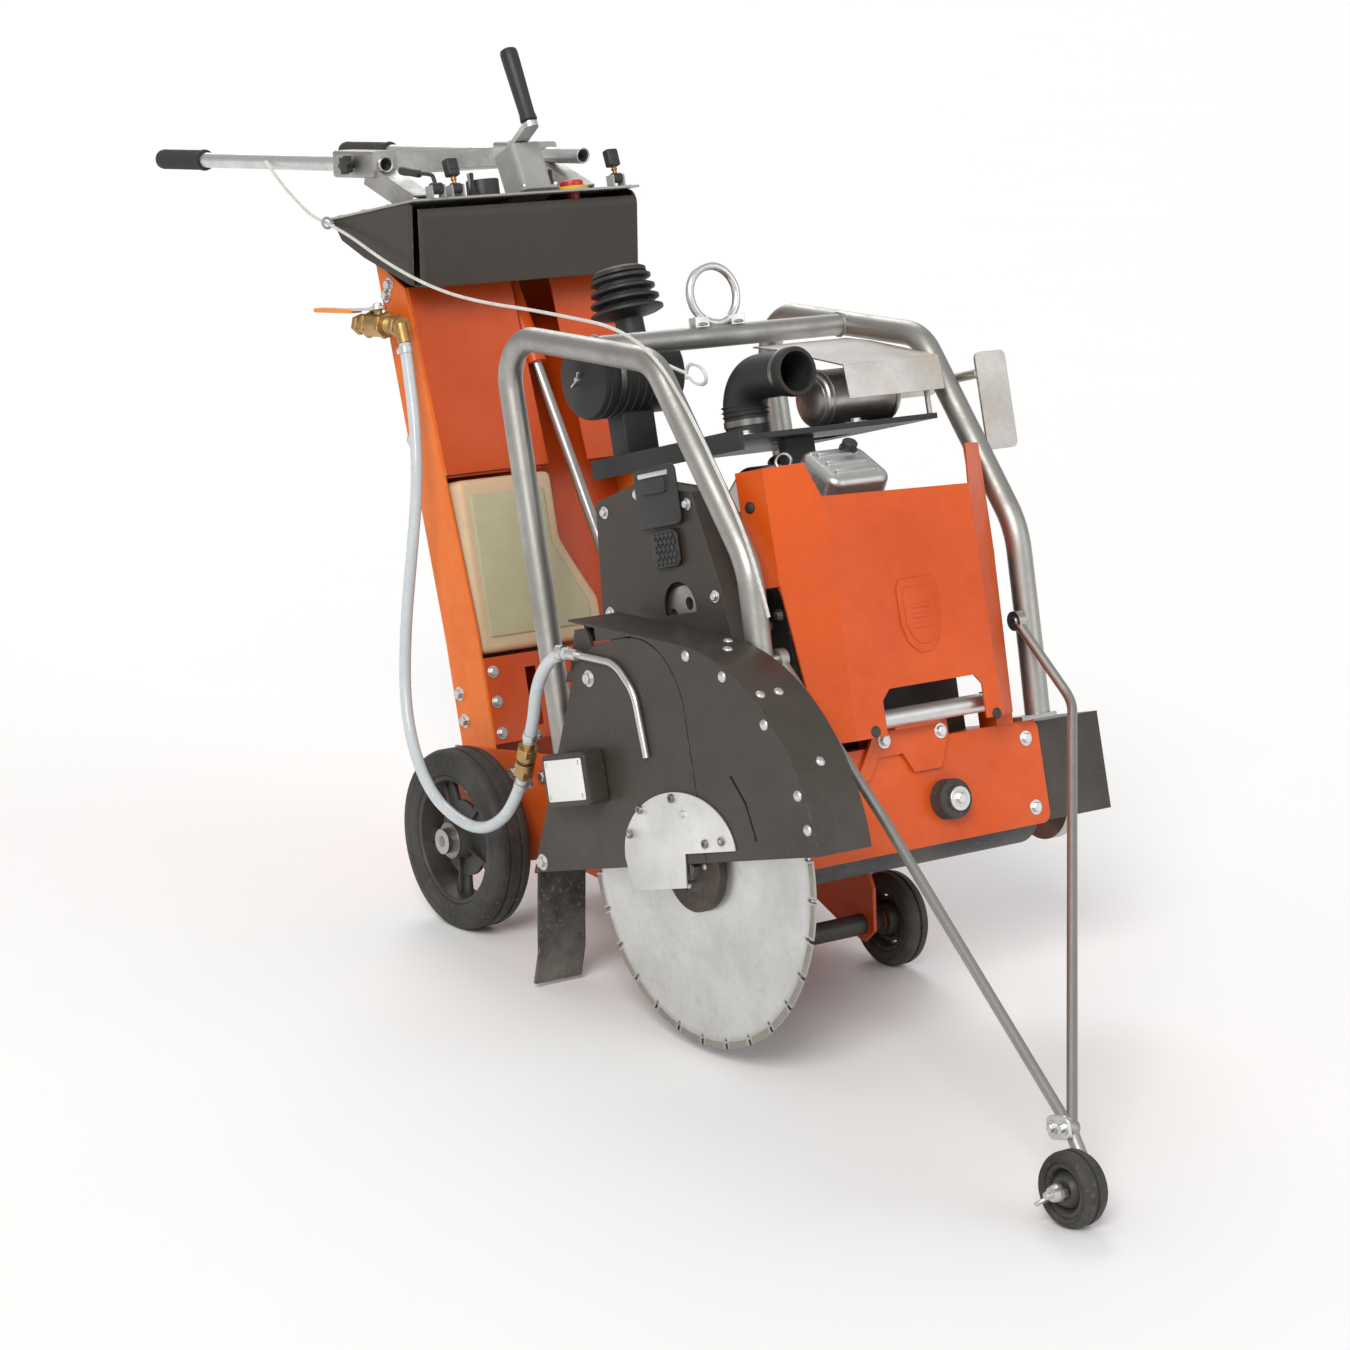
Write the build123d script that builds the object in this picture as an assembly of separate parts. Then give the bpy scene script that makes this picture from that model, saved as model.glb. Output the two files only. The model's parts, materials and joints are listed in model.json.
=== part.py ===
from build123d import *
import os
from math import atan2, cos, degrees, pi, radians, sin, tan

# Walk-behind concrete saw, standing on its rear wheels, its lowered front wheels
# and its guide wheel. Every piece is drawn in the machine's own level frame:
# +X towards the guide wheel, +Y to the machine's left, +Z square to the deck,
# origin on the rear axle. The whole machine then turns nose up about that axle,
# stands on z = 0 and is centred on its bounding box.

# ---- driving dimensions (mm, degrees) ----
NOSE_UP = 15.4
BLADE_R = 250
BLADE_T = 3
ARBOR = (684, -54)          # blade shaft, x and z
BLADE_Y = -314.5
ROPE_EYE = (-198, -216, 966)  # where the pointer's rope leaves the console
REAR_WHEEL_R = 137
REAR_WHEEL_Y = (223, 283)   # inner and outer face
FRONT_WHEEL_R = 70
FRONT_WHEEL_Y = (134, 172)
FRONT_AXLE = (477, -200.9)
ARM_PIVOT = (300, -60)
GUIDE_WHEEL_R = 47
GUIDE_WHEEL_Y = (-334, -296)
GUIDE_AXLE = (1352, -465.6)
GUIDE_PIVOT = (788, 205)
FRAME_Y = 190               # outer face of the frame's side plates
FRAME_TOP, FRAME_BOTTOM = 65, -82
FRAME_FRONT = 775
BEAM_Y = 230
PLATE_T = 4
COLUMN_Y = 186
HOOP_Y = 236
HOOP_R, HOOP_WALL = 18, 2.5
GUARD_R = 305
GUARD_Y = (-345, -258)      # outer face and inner edge of the blade guard
SHEET = 3
GUARD_HINGE = (514, 275)
CRANKSHAFT = (620, 262)
CYLINDER_TILT = 36.87       # either way from square to the deck
BELT_Y = (-231, -206)
ENGINE_PULLEY_R, BLADE_PULLEY_R = 60, 44
LIFT_TOP, LIFT_FOOT = (-101, 880), (232, -71)
LIFT_Y = 25
HANDLE_Y = 150
HANDLE_R = 12.5
HANDLE_RISE = 11.4
CRANK_TILT = 14
FIT = 0.06                  # radial clearance of a running fit
HOSE_R, ROPE_R = 9, 2.5

os.makedirs("parts", exist_ok=True)


# ---- helpers ----
def block(x0, x1, y0, y1, z0, z1):
    middle = ((x0 + x1) / 2, (y0 + y1) / 2, (z0 + z1) / 2)
    return Pos(*middle) * Box(x1 - x0, y1 - y0, z1 - z0)


def rod(start, end, radius, bore=0):
    start, end = Vector(*start), Vector(*end)
    length = (end - start).length
    section = Circle(radius) - Circle(bore) if bore else Circle(radius)
    return extrude(Plane(origin=start, z_dir=end - start) * section, length)


def cross_rod(centre, y0, y1, radius, bore=0):
    return rod((centre[0], y0, centre[1]), (centre[0], y1, centre[1]), radius, bore)


def outline(points, y0, y1, radius=0, rounded=()):
    """A plate in the x-z plane between y0 and y1, some corners rounded."""
    face = make_face(Polyline(*points, close=True))
    for index in rounded:
        corner = Vector(*points[index])
        face = fillet(face.vertices().sort_by_distance(corner)[0], radius)
    return extrude(Plane.XZ.offset(-y1) * face, y1 - y0, dir=(0, -1, 0))


def front_outline(points, x0, x1):
    """A plate in the y-z plane between x0 and x1."""
    face = make_face(Polyline(*points, close=True))
    return extrude(Plane.YZ.offset(x0) * face, x1 - x0, dir=(1, 0, 0))


def thick(points, thickness):
    """The closed outline of a strip to the left of an open polyline."""
    points = [Vector(*point) for point in points]
    runs = [(b - a).normalized() for a, b in zip(points, points[1:])]
    lefts = [Vector(-run.Y, run.X) for run in runs]
    inner = [points[0] + lefts[0] * thickness]
    for before, after, point in zip(lefts, lefts[1:], points[1:]):
        inner.append(point + (before + after) * (thickness / (1 + before.dot(after))))
    inner.append(points[-1] + lefts[-1] * thickness)
    return [(p.X, p.Y) for p in points + inner[::-1]]


def bent_rod(points, radii, radius, bore=0):
    path = FilletPolyline(*points, radius=radii)
    section = Circle(radius) - Circle(bore) if bore else Circle(radius)
    return sweep(Plane(origin=path @ 0, z_dir=path % 0) * section, path=path)


def limp_cord(name, points, radius):
    """A cord whose bends are as large as the runs beside them allow."""
    points = [Vector(*point) for point in points]
    runs = [b - a for a, b in zip(points, points[1:])]
    radii = []
    for before, after in zip(runs, runs[1:]):
        turn = radians(before.get_angle(after))
        radii.append(0.45 * min(before.length, after.length) / tan(turn / 2))
    path = FilletPolyline(*points, radius=radii)
    cord = sweep(Plane(origin=path @ 0, z_dir=path % 0) * Circle(radius), path=path)
    share = cord.volume / (pi * radius**2 * path.length)
    print(name, "length", round(path.length), "volume share", round(share, 4))
    print("  bend radii", [round(value) for value in radii])
    return cord


def ring_of(count, radius, piece, centre, y):
    """Copies of a piece round an axis along y."""
    place = Pos(centre[0], y, centre[1])
    return [place * Rot(0, 360 * i / count, 0) * Pos(radius, 0, 0) * piece
            for i in range(count)]


def lean_back(angle):
    return (-sin(radians(angle)), 0, cos(radians(angle)))


def along(start, direction, distance):
    return tuple(a + b * distance for a, b in zip(start, direction))


# ---- frame and column ----
def base_frame():
    side = [(-96, 137), (294, 92), (330, FRAME_TOP), (FRAME_FRONT, FRAME_TOP),
            (FRAME_FRONT, FRAME_BOTTOM), (250, FRAME_BOTTOM), (142, -46),
            (60, -48), (-70, -48), (-110, 60)]
    right = outline(side, -FRAME_Y, -FRAME_Y + PLATE_T)
    left = outline(side, FRAME_Y - PLATE_T, FRAME_Y)
    inner = FRAME_Y - PLATE_T
    beam = block(FRAME_FRONT - 6, FRAME_FRONT, -BEAM_Y, BEAM_Y, FRAME_BOTTOM, FRAME_TOP)
    beam = fillet(beam.edges().filter_by(Axis.X), 14)
    top = block(745, FRAME_FRONT - 6, -BEAM_Y, BEAM_Y, FRAME_TOP - 5, FRAME_TOP)
    foot = block(745, FRAME_FRONT - 6, -BEAM_Y + 14, BEAM_Y - 14,
                 FRAME_BOTTOM, FRAME_BOTTOM + 5)
    deck = block(218, 745, -inner, inner, FRAME_TOP - 5, FRAME_TOP)
    rear = block(-96, -92, -inner, inner, -40, 120)
    pivot = cross_rod(ARM_PIVOT, -inner, inner, 12)
    frame = right + left + beam + top + foot + deck + rear + pivot
    return frame - cross_rod(ARBOR, -200, 245, 57) - cross_rod((0, 0), -200, 200, 12.5)


def column_housing():
    front = [(-50, 838), (8, 300), (8, 60)]
    back = [(-80, 60), (-84, 300), (-122, 893)]
    inner = COLUMN_Y - PLATE_T
    side = outline(front + back, -COLUMN_Y, -inner)
    side += outline(front + back, inner, COLUMN_Y)
    skin = outline(thick(back, -SHEET), -inner, inner)
    upper = thick([(-50, 838), (-19, 545)], SHEET)
    panels = outline(upper, -inner, 5) + outline(upper, 78, inner)
    lower = thick([(8, 258), (8, 130)], -SHEET)
    skirt = outline(lower, -inner, inner) - block(-20, 40, -110, -90, 150, 240)
    shelves = block(-80, 8, -inner, inner, 258, 262)
    shelves += block(-90, -22, -inner, 5, 541, 545)
    # The lift tube stands in the open slot between the two upper panels.
    tube = rod((LIFT_TOP[0], LIFT_Y, LIFT_TOP[1]), (-39, LIFT_Y, 703), 17, 9 + FIT)
    strut = block(-112, -70, LIFT_Y - 10, LIFT_Y + 10, 770, 790)
    return side + skin + panels + skirt + shelves + (strut - tube) + tube \
        - rod((LIFT_TOP[0], LIFT_Y, LIFT_TOP[1]), (-39, LIFT_Y, 703), 9 + FIT)


def console_housing():
    shape = outline([(45, 955), (15, 828), (-122, 898), (-180, 935), (-200, 970)],
                    -205, 205)
    shape = fillet(shape.edges().filter_by(Axis.Z, 30).sort_by(Axis.X)[-2:], 22)
    hollow = outline([(42, 965), (12, 831), (-121, 901), (-178, 938), (-196, 980)],
                     -202, 202)
    slot = block(-118, -55, LIFT_Y - 22, LIFT_Y + 22, 840, 915)
    return shape - hollow - slot


def under_panel():
    """Everything below the top face of the console's panel."""
    return outline([(60, 930), (60, 957.67), (-213, 974.41), (-213, 930)], -215, 215)


def console_panel():
    panel = outline([(48, 954.9), (48, 958.4), (-203, 973.8), (-203, 970.28)], -208, 208)
    gauge = rod((-20, -40, 955), (-14, -40, 990), 24) - under_panel()
    switch = rod((10, -75, 950), (5, -75, 998), 4) - under_panel()
    opening = rod((5, 110, 940), (5, 110, 975), 11.4)
    return [panel - opening, gauge, switch]


def rope_eye():
    x, y, z = ROPE_EYE
    ring = Pos(x, y, z) * Rot(0, 90, 0) * Torus(8, 2.2)
    return ring + rod((x, y + 7, z), (x, -205, z), 3) - rod((x - 9, y, z), (x + 9, y, z), 5)


def crank_housing():
    axis = lean_back(CRANK_TILT)
    base = (-16, 45, 962)
    box = extrude(Plane(origin=base, z_dir=axis, x_dir=(0, 1, 0)) * RectangleRounded(56, 60, 10), 76)
    box -= rod(along(base, axis, 20), along(base, axis, 80), 9 + FIT)
    return box - under_panel()


def crank_point(distance):
    return along((-16, 45, 962), lean_back(CRANK_TILT), distance)


def crank_reach():
    return Vector(cos(radians(CRANK_TILT)), 0, sin(radians(CRANK_TILT))) * 78 + Vector(0, -18, 0)


def crank_arm():
    axis = lean_back(CRANK_TILT)
    reach = crank_reach()
    shaft = rod(crank_point(24), crank_point(78), 9)
    start = Vector(*crank_point(82))
    tip = start + reach
    plane = Plane(origin=start - Vector(*axis) * 4, z_dir=axis, x_dir=reach)
    bar = extrude(plane * Pos(reach.length / 2, 0) * SlotCenterToCenter(reach.length, 24), 9)
    stud = rod(tip + Vector(*axis) * 4, tip + Vector(*axis) * 126, 6)
    return shaft + bar + stud


def crank_grip():
    axis = Vector(*lean_back(CRANK_TILT))
    tip = Vector(*crank_point(82)) + crank_reach()
    grip = rod(tip + axis * 8, tip + axis * 130, 14)
    grip = fillet(grip.edges().filter_by(GeomType.CIRCLE), 3)
    return grip - rod(tip + axis * 6, tip + axis * 127, 6 + FIT)


# ---- handlebars ----
HANDLE_DIR = (-cos(radians(HANDLE_RISE)), 0, sin(radians(HANDLE_RISE)))


def handle_point(side, distance):
    return along((-150, side * HANDLE_Y, 1046), HANDLE_DIR, distance)


def handle_frame():
    pieces = []
    for side in (-1, 1):
        y = side * HANDLE_Y
        leg = Plane(origin=(-22, y, 958), z_dir=(-128, 0, 76))
        pieces.append(extrude(leg * (Rectangle(34, 34) - Rectangle(28, 28)), 142))
        sleeve = Plane(origin=handle_point(side, -40), z_dir=HANDLE_DIR)
        pieces.append(extrude(sleeve * RectangleRounded(42, 42, 6), 120))
    cross = block(-168, -140, -HANDLE_Y, HANDLE_Y, 1030, 1060)
    frame = sum(pieces[1:], pieces[0]) + cross
    for side in (-1, 1):
        frame -= rod(handle_point(side, -60), handle_point(side, 120), HANDLE_R + FIT)
    return frame - under_panel()


def handlebar(side, drawn_out):
    bar = rod(handle_point(side, drawn_out - 720), handle_point(side, drawn_out), HANDLE_R, 10)
    grip = rod(handle_point(side, drawn_out - 200), handle_point(side, drawn_out + 4), 17)
    grip = fillet(grip.edges().filter_by(GeomType.CIRCLE), 3)
    grip -= rod(handle_point(side, drawn_out - 210), handle_point(side, drawn_out), HANDLE_R)
    return [bar, grip]


# ---- console levers ----
def throttle_lever():
    pin = cross_rod((48, 972), -172, -158, 5)
    hub = cross_rod((48, 972), -174, -156, 9)
    arm = bent_rod([(48, -165, 972), (40, -165, 992), (-42, -165, 1016)], [12], 5.5)
    return hub + pin + arm


def paddle(x, y):
    stem = rod((x, y, 972), (x - 4, y, 992), 5)
    hub = cross_rod((x, 972), y - 8, y + 8, 8)
    head = block(x - 13, x + 5, y - 11, y + 11, 990, 1018)
    return stem + hub + fillet(head.edges(), 3)


def lever_cheeks():
    """Pairs of lugs on the panel that carry the levers."""
    pieces = []
    for x, y, half in ((48, -165, 9), (40, -125, 8), (40, 172, 8)):
        for side in (-1, 1):
            wall = sorted((y + side * (half + 0.5), y + side * (half + 3.5)))
            pieces.append(block(x - 11, x + 7, *wall, 950, 977) - under_panel())
    return pieces


def stop_button():
    cap = rod((5, 110, 966.5), (5, 110, 977), 19)
    cap = fillet(cap.edges().filter_by(GeomType.CIRCLE).sort_by(Axis.Z)[-1], 4)
    return cap + rod((5, 110, 948), (5, 110, 966.5), 11)


# ---- lift screw, front arm and wheels ----
LIFT_DIR = Vector(LIFT_FOOT[0] - LIFT_TOP[0], 0, LIFT_FOOT[1] - LIFT_TOP[1]).normalized()


def lift_screw():
    top = Vector(LIFT_TOP[0], LIFT_Y, LIFT_TOP[1])
    foot = Vector(LIFT_FOOT[0], LIFT_Y, LIFT_FOOT[1])
    shank = rod(top + LIFT_DIR * 20, foot - LIFT_DIR * 20, 9)
    plane = Plane(origin=foot - Vector(0, 9, 0), z_dir=(0, 1, 0), x_dir=LIFT_DIR)
    eye = extrude(plane * (Rectangle(44, 52) - Rectangle(24, 36)), 18)
    return shank + eye


def front_arm():
    px, pz = ARM_PIVOT
    ax, az = FRONT_AXLE
    cheek = [(px - 26, pz - 24), (px - 26, pz + 20), (px + 14, pz + 26), (505, -112),
             (515, -150), (ax + 26, az - 12), (ax, az - 26), (ax - 34, az - 8)]
    arm = outline(cheek, -104, -98) + outline(cheek, 98, 104)
    arm += cross_rod(ARM_PIVOT, -104, 104, 22)
    lug = [(px - 90, pz - 30), (px - 70, pz + 8), (px, pz + 20), (px, pz - 20)]
    arm += outline(lug, LIFT_Y - 22, LIFT_Y - 14) + outline(lug, LIFT_Y + 14, LIFT_Y + 22)
    arm += cross_rod(LIFT_FOOT, LIFT_Y - 22, LIFT_Y + 22, 8)
    arm += cross_rod(FRONT_AXLE, -FRONT_WHEEL_Y[0] + 0.5, FRONT_WHEEL_Y[0] - 0.5, 15)
    arm += cross_rod(FRONT_AXLE, -FRONT_WHEEL_Y[1] - 6, FRONT_WHEEL_Y[1] + 6, 10)
    return arm - cross_rod(ARM_PIVOT, -120, 120, 12 + FIT)


def wheel(centre, radius, y0, y1, bore, tread, windows):
    """Tyre and dished rim of a wheel between y0 and y1, and its bearing sleeve."""
    middle = (y0 + y1) / 2
    inner = radius - tread
    tyre = cross_rod(centre, y0, y1, radius, inner)
    outer_edges = tyre.edges().filter_by(GeomType.CIRCLE).sort_by(lambda e: e.radius)[-2:]
    tyre = fillet(outer_edges, tread / 4)
    rim = cross_rod(centre, y0 + 6, y1 - 6, inner, inner - 6)
    rim += cross_rod(centre, middle - 5, middle + 5, inner - 6)
    rim += cross_rod(centre, y0, y1, bore + 12)
    hole = cross_rod((0, 0), -10, 10, (inner - bore) / 6)
    for cut in ring_of(windows, (inner + bore + 6) / 2, hole, centre, middle):
        rim -= cut
    return [tyre, rim - cross_rod(centre, y0 - 1, y1 + 1, bore + FIT)]


def rear_axle():
    end = REAR_WHEEL_Y[1] + 14
    axle = cross_rod((0, 0), -end, end, 12.5)
    for side in (-1, 1):
        spacer = sorted((side * FRAME_Y, side * (REAR_WHEEL_Y[0] - 0.5)))
        nut = sorted((side * (REAR_WHEEL_Y[1] + 0.5), side * end))
        axle += cross_rod((0, 0), *spacer, 22)
        axle += cross_rod((0, 0), *nut, 19)
    return axle


# ---- cage ----
def side_hoop(side):
    y = side * HOOP_Y
    points = [(279, y, 66), (279, y, 721), (640, y, 630), (786, y, 335),
              (778, y, 160), (772, y, 71)]
    hoop = bent_rod(points, [62, 66, 130, 300], HOOP_R, HOOP_R - HOOP_WALL)
    flange = sorted((side * 190, side * 254))
    foot = block(746, 792, *flange, FRAME_TOP, 71)
    return hoop + foot


def rear_brackets():
    pieces = []
    for side in (-1, 1):
        wall = sorted((side * FRAME_Y, side * (HOOP_Y - HOOP_R + 2)))
        shoe = block(264, 294, *wall, 66, 94)
        pieces.append(shoe - cross_hoop(side))
    return pieces


def cross_hoop(side):
    return rod((279, side * HOOP_Y, 40), (279, side * HOOP_Y, 160), HOOP_R)


def hoop_crossbar():
    bar = cross_rod((478, 671), -HOOP_Y, HOOP_Y, 16)
    for side in (-1, 1):
        bar -= rod((279, side * HOOP_Y, 721), (640, side * HOOP_Y, 630), HOOP_R)
    return bar


def lifting_ring():
    ring = Pos(478, 0, 731) * Rot(0, 90, 0) * Torus(41, 6)
    pads = block(470, 486, -44, -20, 684, 700) + block(470, 486, 20, 44, 684, 700)
    return ring + pads - cross_rod((478, 671), -60, 60, 16)


# ---- engine ----
def engine_crankcase():
    case = outline([(500, 98), (722, 98), (726, 280), (709, 289), (620, 355.7),
                    (531, 289), (506, 270)], -140, 140)
    case = fillet(case.edges().filter_by(GeomType.LINE).group_by(Axis.Z)[0], 6)
    feet = block(510, 545, -150, 150, FRAME_TOP, 100) + block(680, 715, -150, 150, FRAME_TOP, 100)
    pedestal = block(612, 628, -26, 26, 340, 505)
    boss = cross_rod(CRANKSHAFT, -152, -140, 40)
    case = case + feet + pedestal + boss
    return case - cross_rod(CRANKSHAFT, -160, -90, 14 + FIT)


def cylinder_frame(side):
    cx, cz = CRANKSHAFT
    tilt = radians(CYLINDER_TILT)
    return Plane(origin=(cx, -30 * side, cz), z_dir=(side * sin(tilt), 0, cos(tilt)),
                 x_dir=(0, 1, 0))


def engine_cylinders():
    pieces = []
    for side in (-1, 1):
        frame = cylinder_frame(side)
        barrel = extrude(frame.offset(75) * Circle(41), 117)
        for step in range(8):
            barrel += extrude(frame.offset(98 + step * 11) * Rectangle(100, 100), 4)
        pieces.append(barrel)
    return pieces


def valve_covers():
    pieces = []
    for side in (-1, 1):
        frame = cylinder_frame(side)
        base = extrude(frame.offset(192) * RectangleRounded(120, 104, 14), 10)
        cap = extrude(frame.offset(202) * RectangleRounded(106, 88, 20), 40)
        cap = fillet(cap.faces().sort_by_distance(frame.offset(242).origin)[0].edges(), 12)
        pieces.append(base + cap)
    return pieces


def engine_shroud():
    fan = cross_rod(CRANKSHAFT, 140, 196, 112)
    fan -= cross_rod(CRANKSHAFT, 188, 200, 84)
    for step in range(5):
        ring = 16 + 15 * step
        fan += cross_rod(CRANKSHAFT, 187, 193, ring + 4, ring)
    fan += block(CRANKSHAFT[0] - 86, CRANKSHAFT[0] + 86, 187, 191, 256, 268)
    plate = block(335, 700, -150, 195, 505, 513)
    plate -= block(500, 560, 40, 150, 500, 520)
    rail = block(335, 700, -156, -150, 493, 521)
    return [fan, plate + rail]


def air_cleaner():
    centre = (365, 638)
    can = cross_rod(centre, -160, -25, 58)
    bracket = block(345, 385, -125, -65, 513, 590) - cross_rod(centre, -170, -20, 58)
    cap = fillet(cross_rod(centre, -172, -160, 60).edges().filter_by(GeomType.CIRCLE), 4)
    nut = block(353, 377, -184, -172, 634, 642)
    neck = rod((345, -55, 680), (340, -55, 728), 21) - cross_rod(centre, -170, -20, 58)
    rings = [rod((340, -55, 728 + 16 * i), (340, -55, 738 + 16 * i), 54 - 3 * i)
             for i in range(4)]
    core = rod((340, -55, 728), (340, -55, 784), 34)
    dome = rod((340, -55, 784), (340, -55, 796), 40)
    return [can, bracket, cap + nut, neck + core + sum(rings[1:], rings[0]) + dome]


def intake_elbow():
    elbow = bent_rod([(540, -20, 513), (540, -20, 601), (668, -20, 594)], [48], 32, 28)
    return elbow + block(500, 580, -60, 20, 513, 519) - rod((540, -20, 505), (540, -20, 530), 28)


def muffler():
    body = cross_rod((606, 556), 48, 184, 41)
    body = fillet(body.edges().filter_by(GeomType.CIRCLE), 8)
    pipe = cross_rod((606, 560), 184, 268, 16, 13.5)
    pedestal = block(590, 622, 90, 130, 513, 524) - body
    return [body, pipe, pedestal]


def heat_shields():
    skin = outline(thick([(505, 646), (560, 634), (704, 592), (708, 545)], 2), 36, 208)
    posts = [rod((x, y, 513), (x, y, top), 4)
             for x, y, top in ((522, 200, 641), (690, 190, 594))]
    bow = bent_rod([(640, 176, 513), (640, 192, 470), (712, 200, 470), (712, 200, 560)],
                   [14, 14], 6)
    deflector = fillet(block(724, 728, 256, 312, 450, 590).edges().filter_by(Axis.X), 10)
    bar = rod((664, 260.8, 560), (724, 260.8, 560), 7)
    return [skin] + [post - skin for post in posts] + [deflector + bar]


def control_box():
    box = fillet(block(567, 665, -250, -240, 404, 489).edges().filter_by(Axis.Y), 6)
    latch = block(590, 642, -255, -250, 452, 470)
    grille = block(585, 647, -246, -240, 350, 400)
    for step in range(5):
        grille -= block(590, 642, -248, -243, 354 + 9 * step, 359 + 9 * step)
    return [box + latch, grille]


BELT_GUARD = [(432, 300), (455, 455), (560, 472), (685, 445), (724, 300), (740, 100),
              (742, -54), (726, -102), (684, -118), (642, -102), (622, -54), (580, 100)]


def belt_guard():
    cover = outline(BELT_GUARD, -240, -192)
    hollow = offset(make_face(Polyline(*BELT_GUARD, close=True)), -SHEET)
    cover -= extrude(Plane.XZ.offset(190) * hollow, 50 - SHEET, dir=(0, -1, 0))
    window = cross_rod((620, 290), -245, -235, 38) - block(570, 670, -250, -230, 240, 284)
    return cover - window - cross_rod(ARBOR, -245, -230, 24)


def belt_loop(y0, y1):
    """A belt round both pulleys, just clear of them."""
    (ex, ez), (bx, bz) = CRANKSHAFT, ARBOR
    big, small, gap, depth = ENGINE_PULLEY_R, BLADE_PULLEY_R, 0.3, 7
    span = ((bx - ex) ** 2 + (bz - ez) ** 2) ** 0.5
    heading = atan2(bz - ez, bx - ex)
    open_angle = pi / 2 - (big - small) / span

    def loop(extra):
        corners = []
        for sign in (1, -1):
            turn = heading + sign * open_angle
            for (x, z), radius in ((CRANKSHAFT, big), (ARBOR, small)):
                corners.append((x + cos(turn) * (radius + extra),
                                z + sin(turn) * (radius + extra)))
        a, b, c, d = corners
        body = outline([a, b, d, c], y0, y1)
        body += cross_rod(CRANKSHAFT, y0, y1, big + extra)
        return body + cross_rod(ARBOR, y0, y1, small + extra)

    return loop(gap + depth) - loop(gap)


def drive_belts():
    return [belt_loop(BELT_Y[0] + 9 * i, BELT_Y[0] + 9 * i + 7) for i in range(3)]


def engine_pulley():
    pulley = cross_rod(CRANKSHAFT, *BELT_Y, ENGINE_PULLEY_R)
    for angle in range(0, 360, 72):
        x = CRANKSHAFT[0] + 36 * cos(radians(angle))
        z = CRANKSHAFT[1] + 36 * sin(radians(angle))
        pulley -= cross_rod((x, z), BELT_Y[0] - 1, BELT_Y[1] + 1, 9)
    return pulley + cross_rod(CRANKSHAFT, BELT_Y[0] - 3, -95, 14)


# ---- blade spindle ----
def blade_shaft():
    shaft = cross_rod(ARBOR, -300, 318, 20) + cross_rod(ARBOR, -340, -300, 12.7)
    shaft += cross_rod(ARBOR, *BELT_Y, BLADE_PULLEY_R) + cross_rod(ARBOR, 292, 312, 60)
    nut = extrude(Plane.XZ.offset(328.5) * Pos(*ARBOR) * RegularPolygon(19, 6), 11)
    return [shaft, nut - cross_rod(ARBOR, -345, -320, 12.7)]


def shaft_bearings():
    housing = cross_rod(ARBOR, -190, 240, 57, 40)
    rings = [cross_rod(ARBOR, y, y + 24, 40, 20 + FIT) for y in (-190, 216)]
    return [housing] + rings


def saw_blade():
    y0 = BLADE_Y - BLADE_T / 2
    blade = cross_rod(ARBOR, y0, y0 + BLADE_T, BLADE_R, 12.7)
    slot = block(-9, 2, -5, 5, -1.6, 1.6) + cross_rod((-9, 0), -5, 5, 3)
    for cut in ring_of(28, BLADE_R, slot, ARBOR, BLADE_Y):
        blade -= cut
    return blade


def blade_flanges():
    y0, y1 = BLADE_Y - BLADE_T / 2, BLADE_Y + BLADE_T / 2
    inner = cross_rod(ARBOR, y1, -300, 62, 12.7)
    outer = cross_rod(ARBOR, y0 - 12.5, y0, 62, 12.7)
    return [inner, outer]


# ---- blade guard ----
def guard_sweep(radius, rear_x):
    """The guard's outline from the front edge over the top to the rear end."""
    start, end = 1.1, 77.5
    arc = CenterArc(ARBOR, radius, start, end - start)
    top = arc @ 1
    rise = tan(radians(90 - end))
    tail = (rear_x, top.Y + (top.X - rear_x) * rise)
    return [arc, Line(top, tail)], arc @ 0, Vector(*tail)


def rear_plate(gap):
    """Front edge and top of the rear half's side plate, grown by a gap."""
    points = [(318, -48), (501, 236), (560, 262 + gap), (741 + gap, 262 + gap),
              (741 + gap, -48)]
    face = make_face(Polyline(*points, close=True))
    corner = face.vertices().sort_by_distance(Vector(*points[3]))[0]
    return fillet(corner, 108 + gap)


def rear_guard():
    y0, y1 = GUARD_Y
    plate = extrude(Plane.XZ.offset(-y0 - SHEET) * rear_plate(0), SHEET, dir=(0, -1, 0))
    rim = outline(thick([(318, -48), (501, 236)], -SHEET), y0, y1)
    inner = outline([(352, 4), (503, 236), (540, 236), (575, 70), (575, 8), (430, 4)],
                    y1 - 4, y1)
    lug = outline([(470, 220), (500, 284), (528, 284), (545, 220)], y0 + 8, y0 + 14)
    lug += outline([(470, 220), (500, 284), (528, 284), (545, 220)], y1 - 16, y1 - 10)
    pin = cross_rod(GUARD_HINGE, y0 + 8, y1 - 10, 6)
    web = outline([(470, 214), (480, 228), (540, 228), (540, 222)], y0, y1)
    stays = cross_rod((468, 40), y1, -FRAME_Y, 13) + cross_rod((545, 30), y1, -FRAME_Y, 13)
    return plate + rim + inner + lug + pin + web + stays


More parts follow.
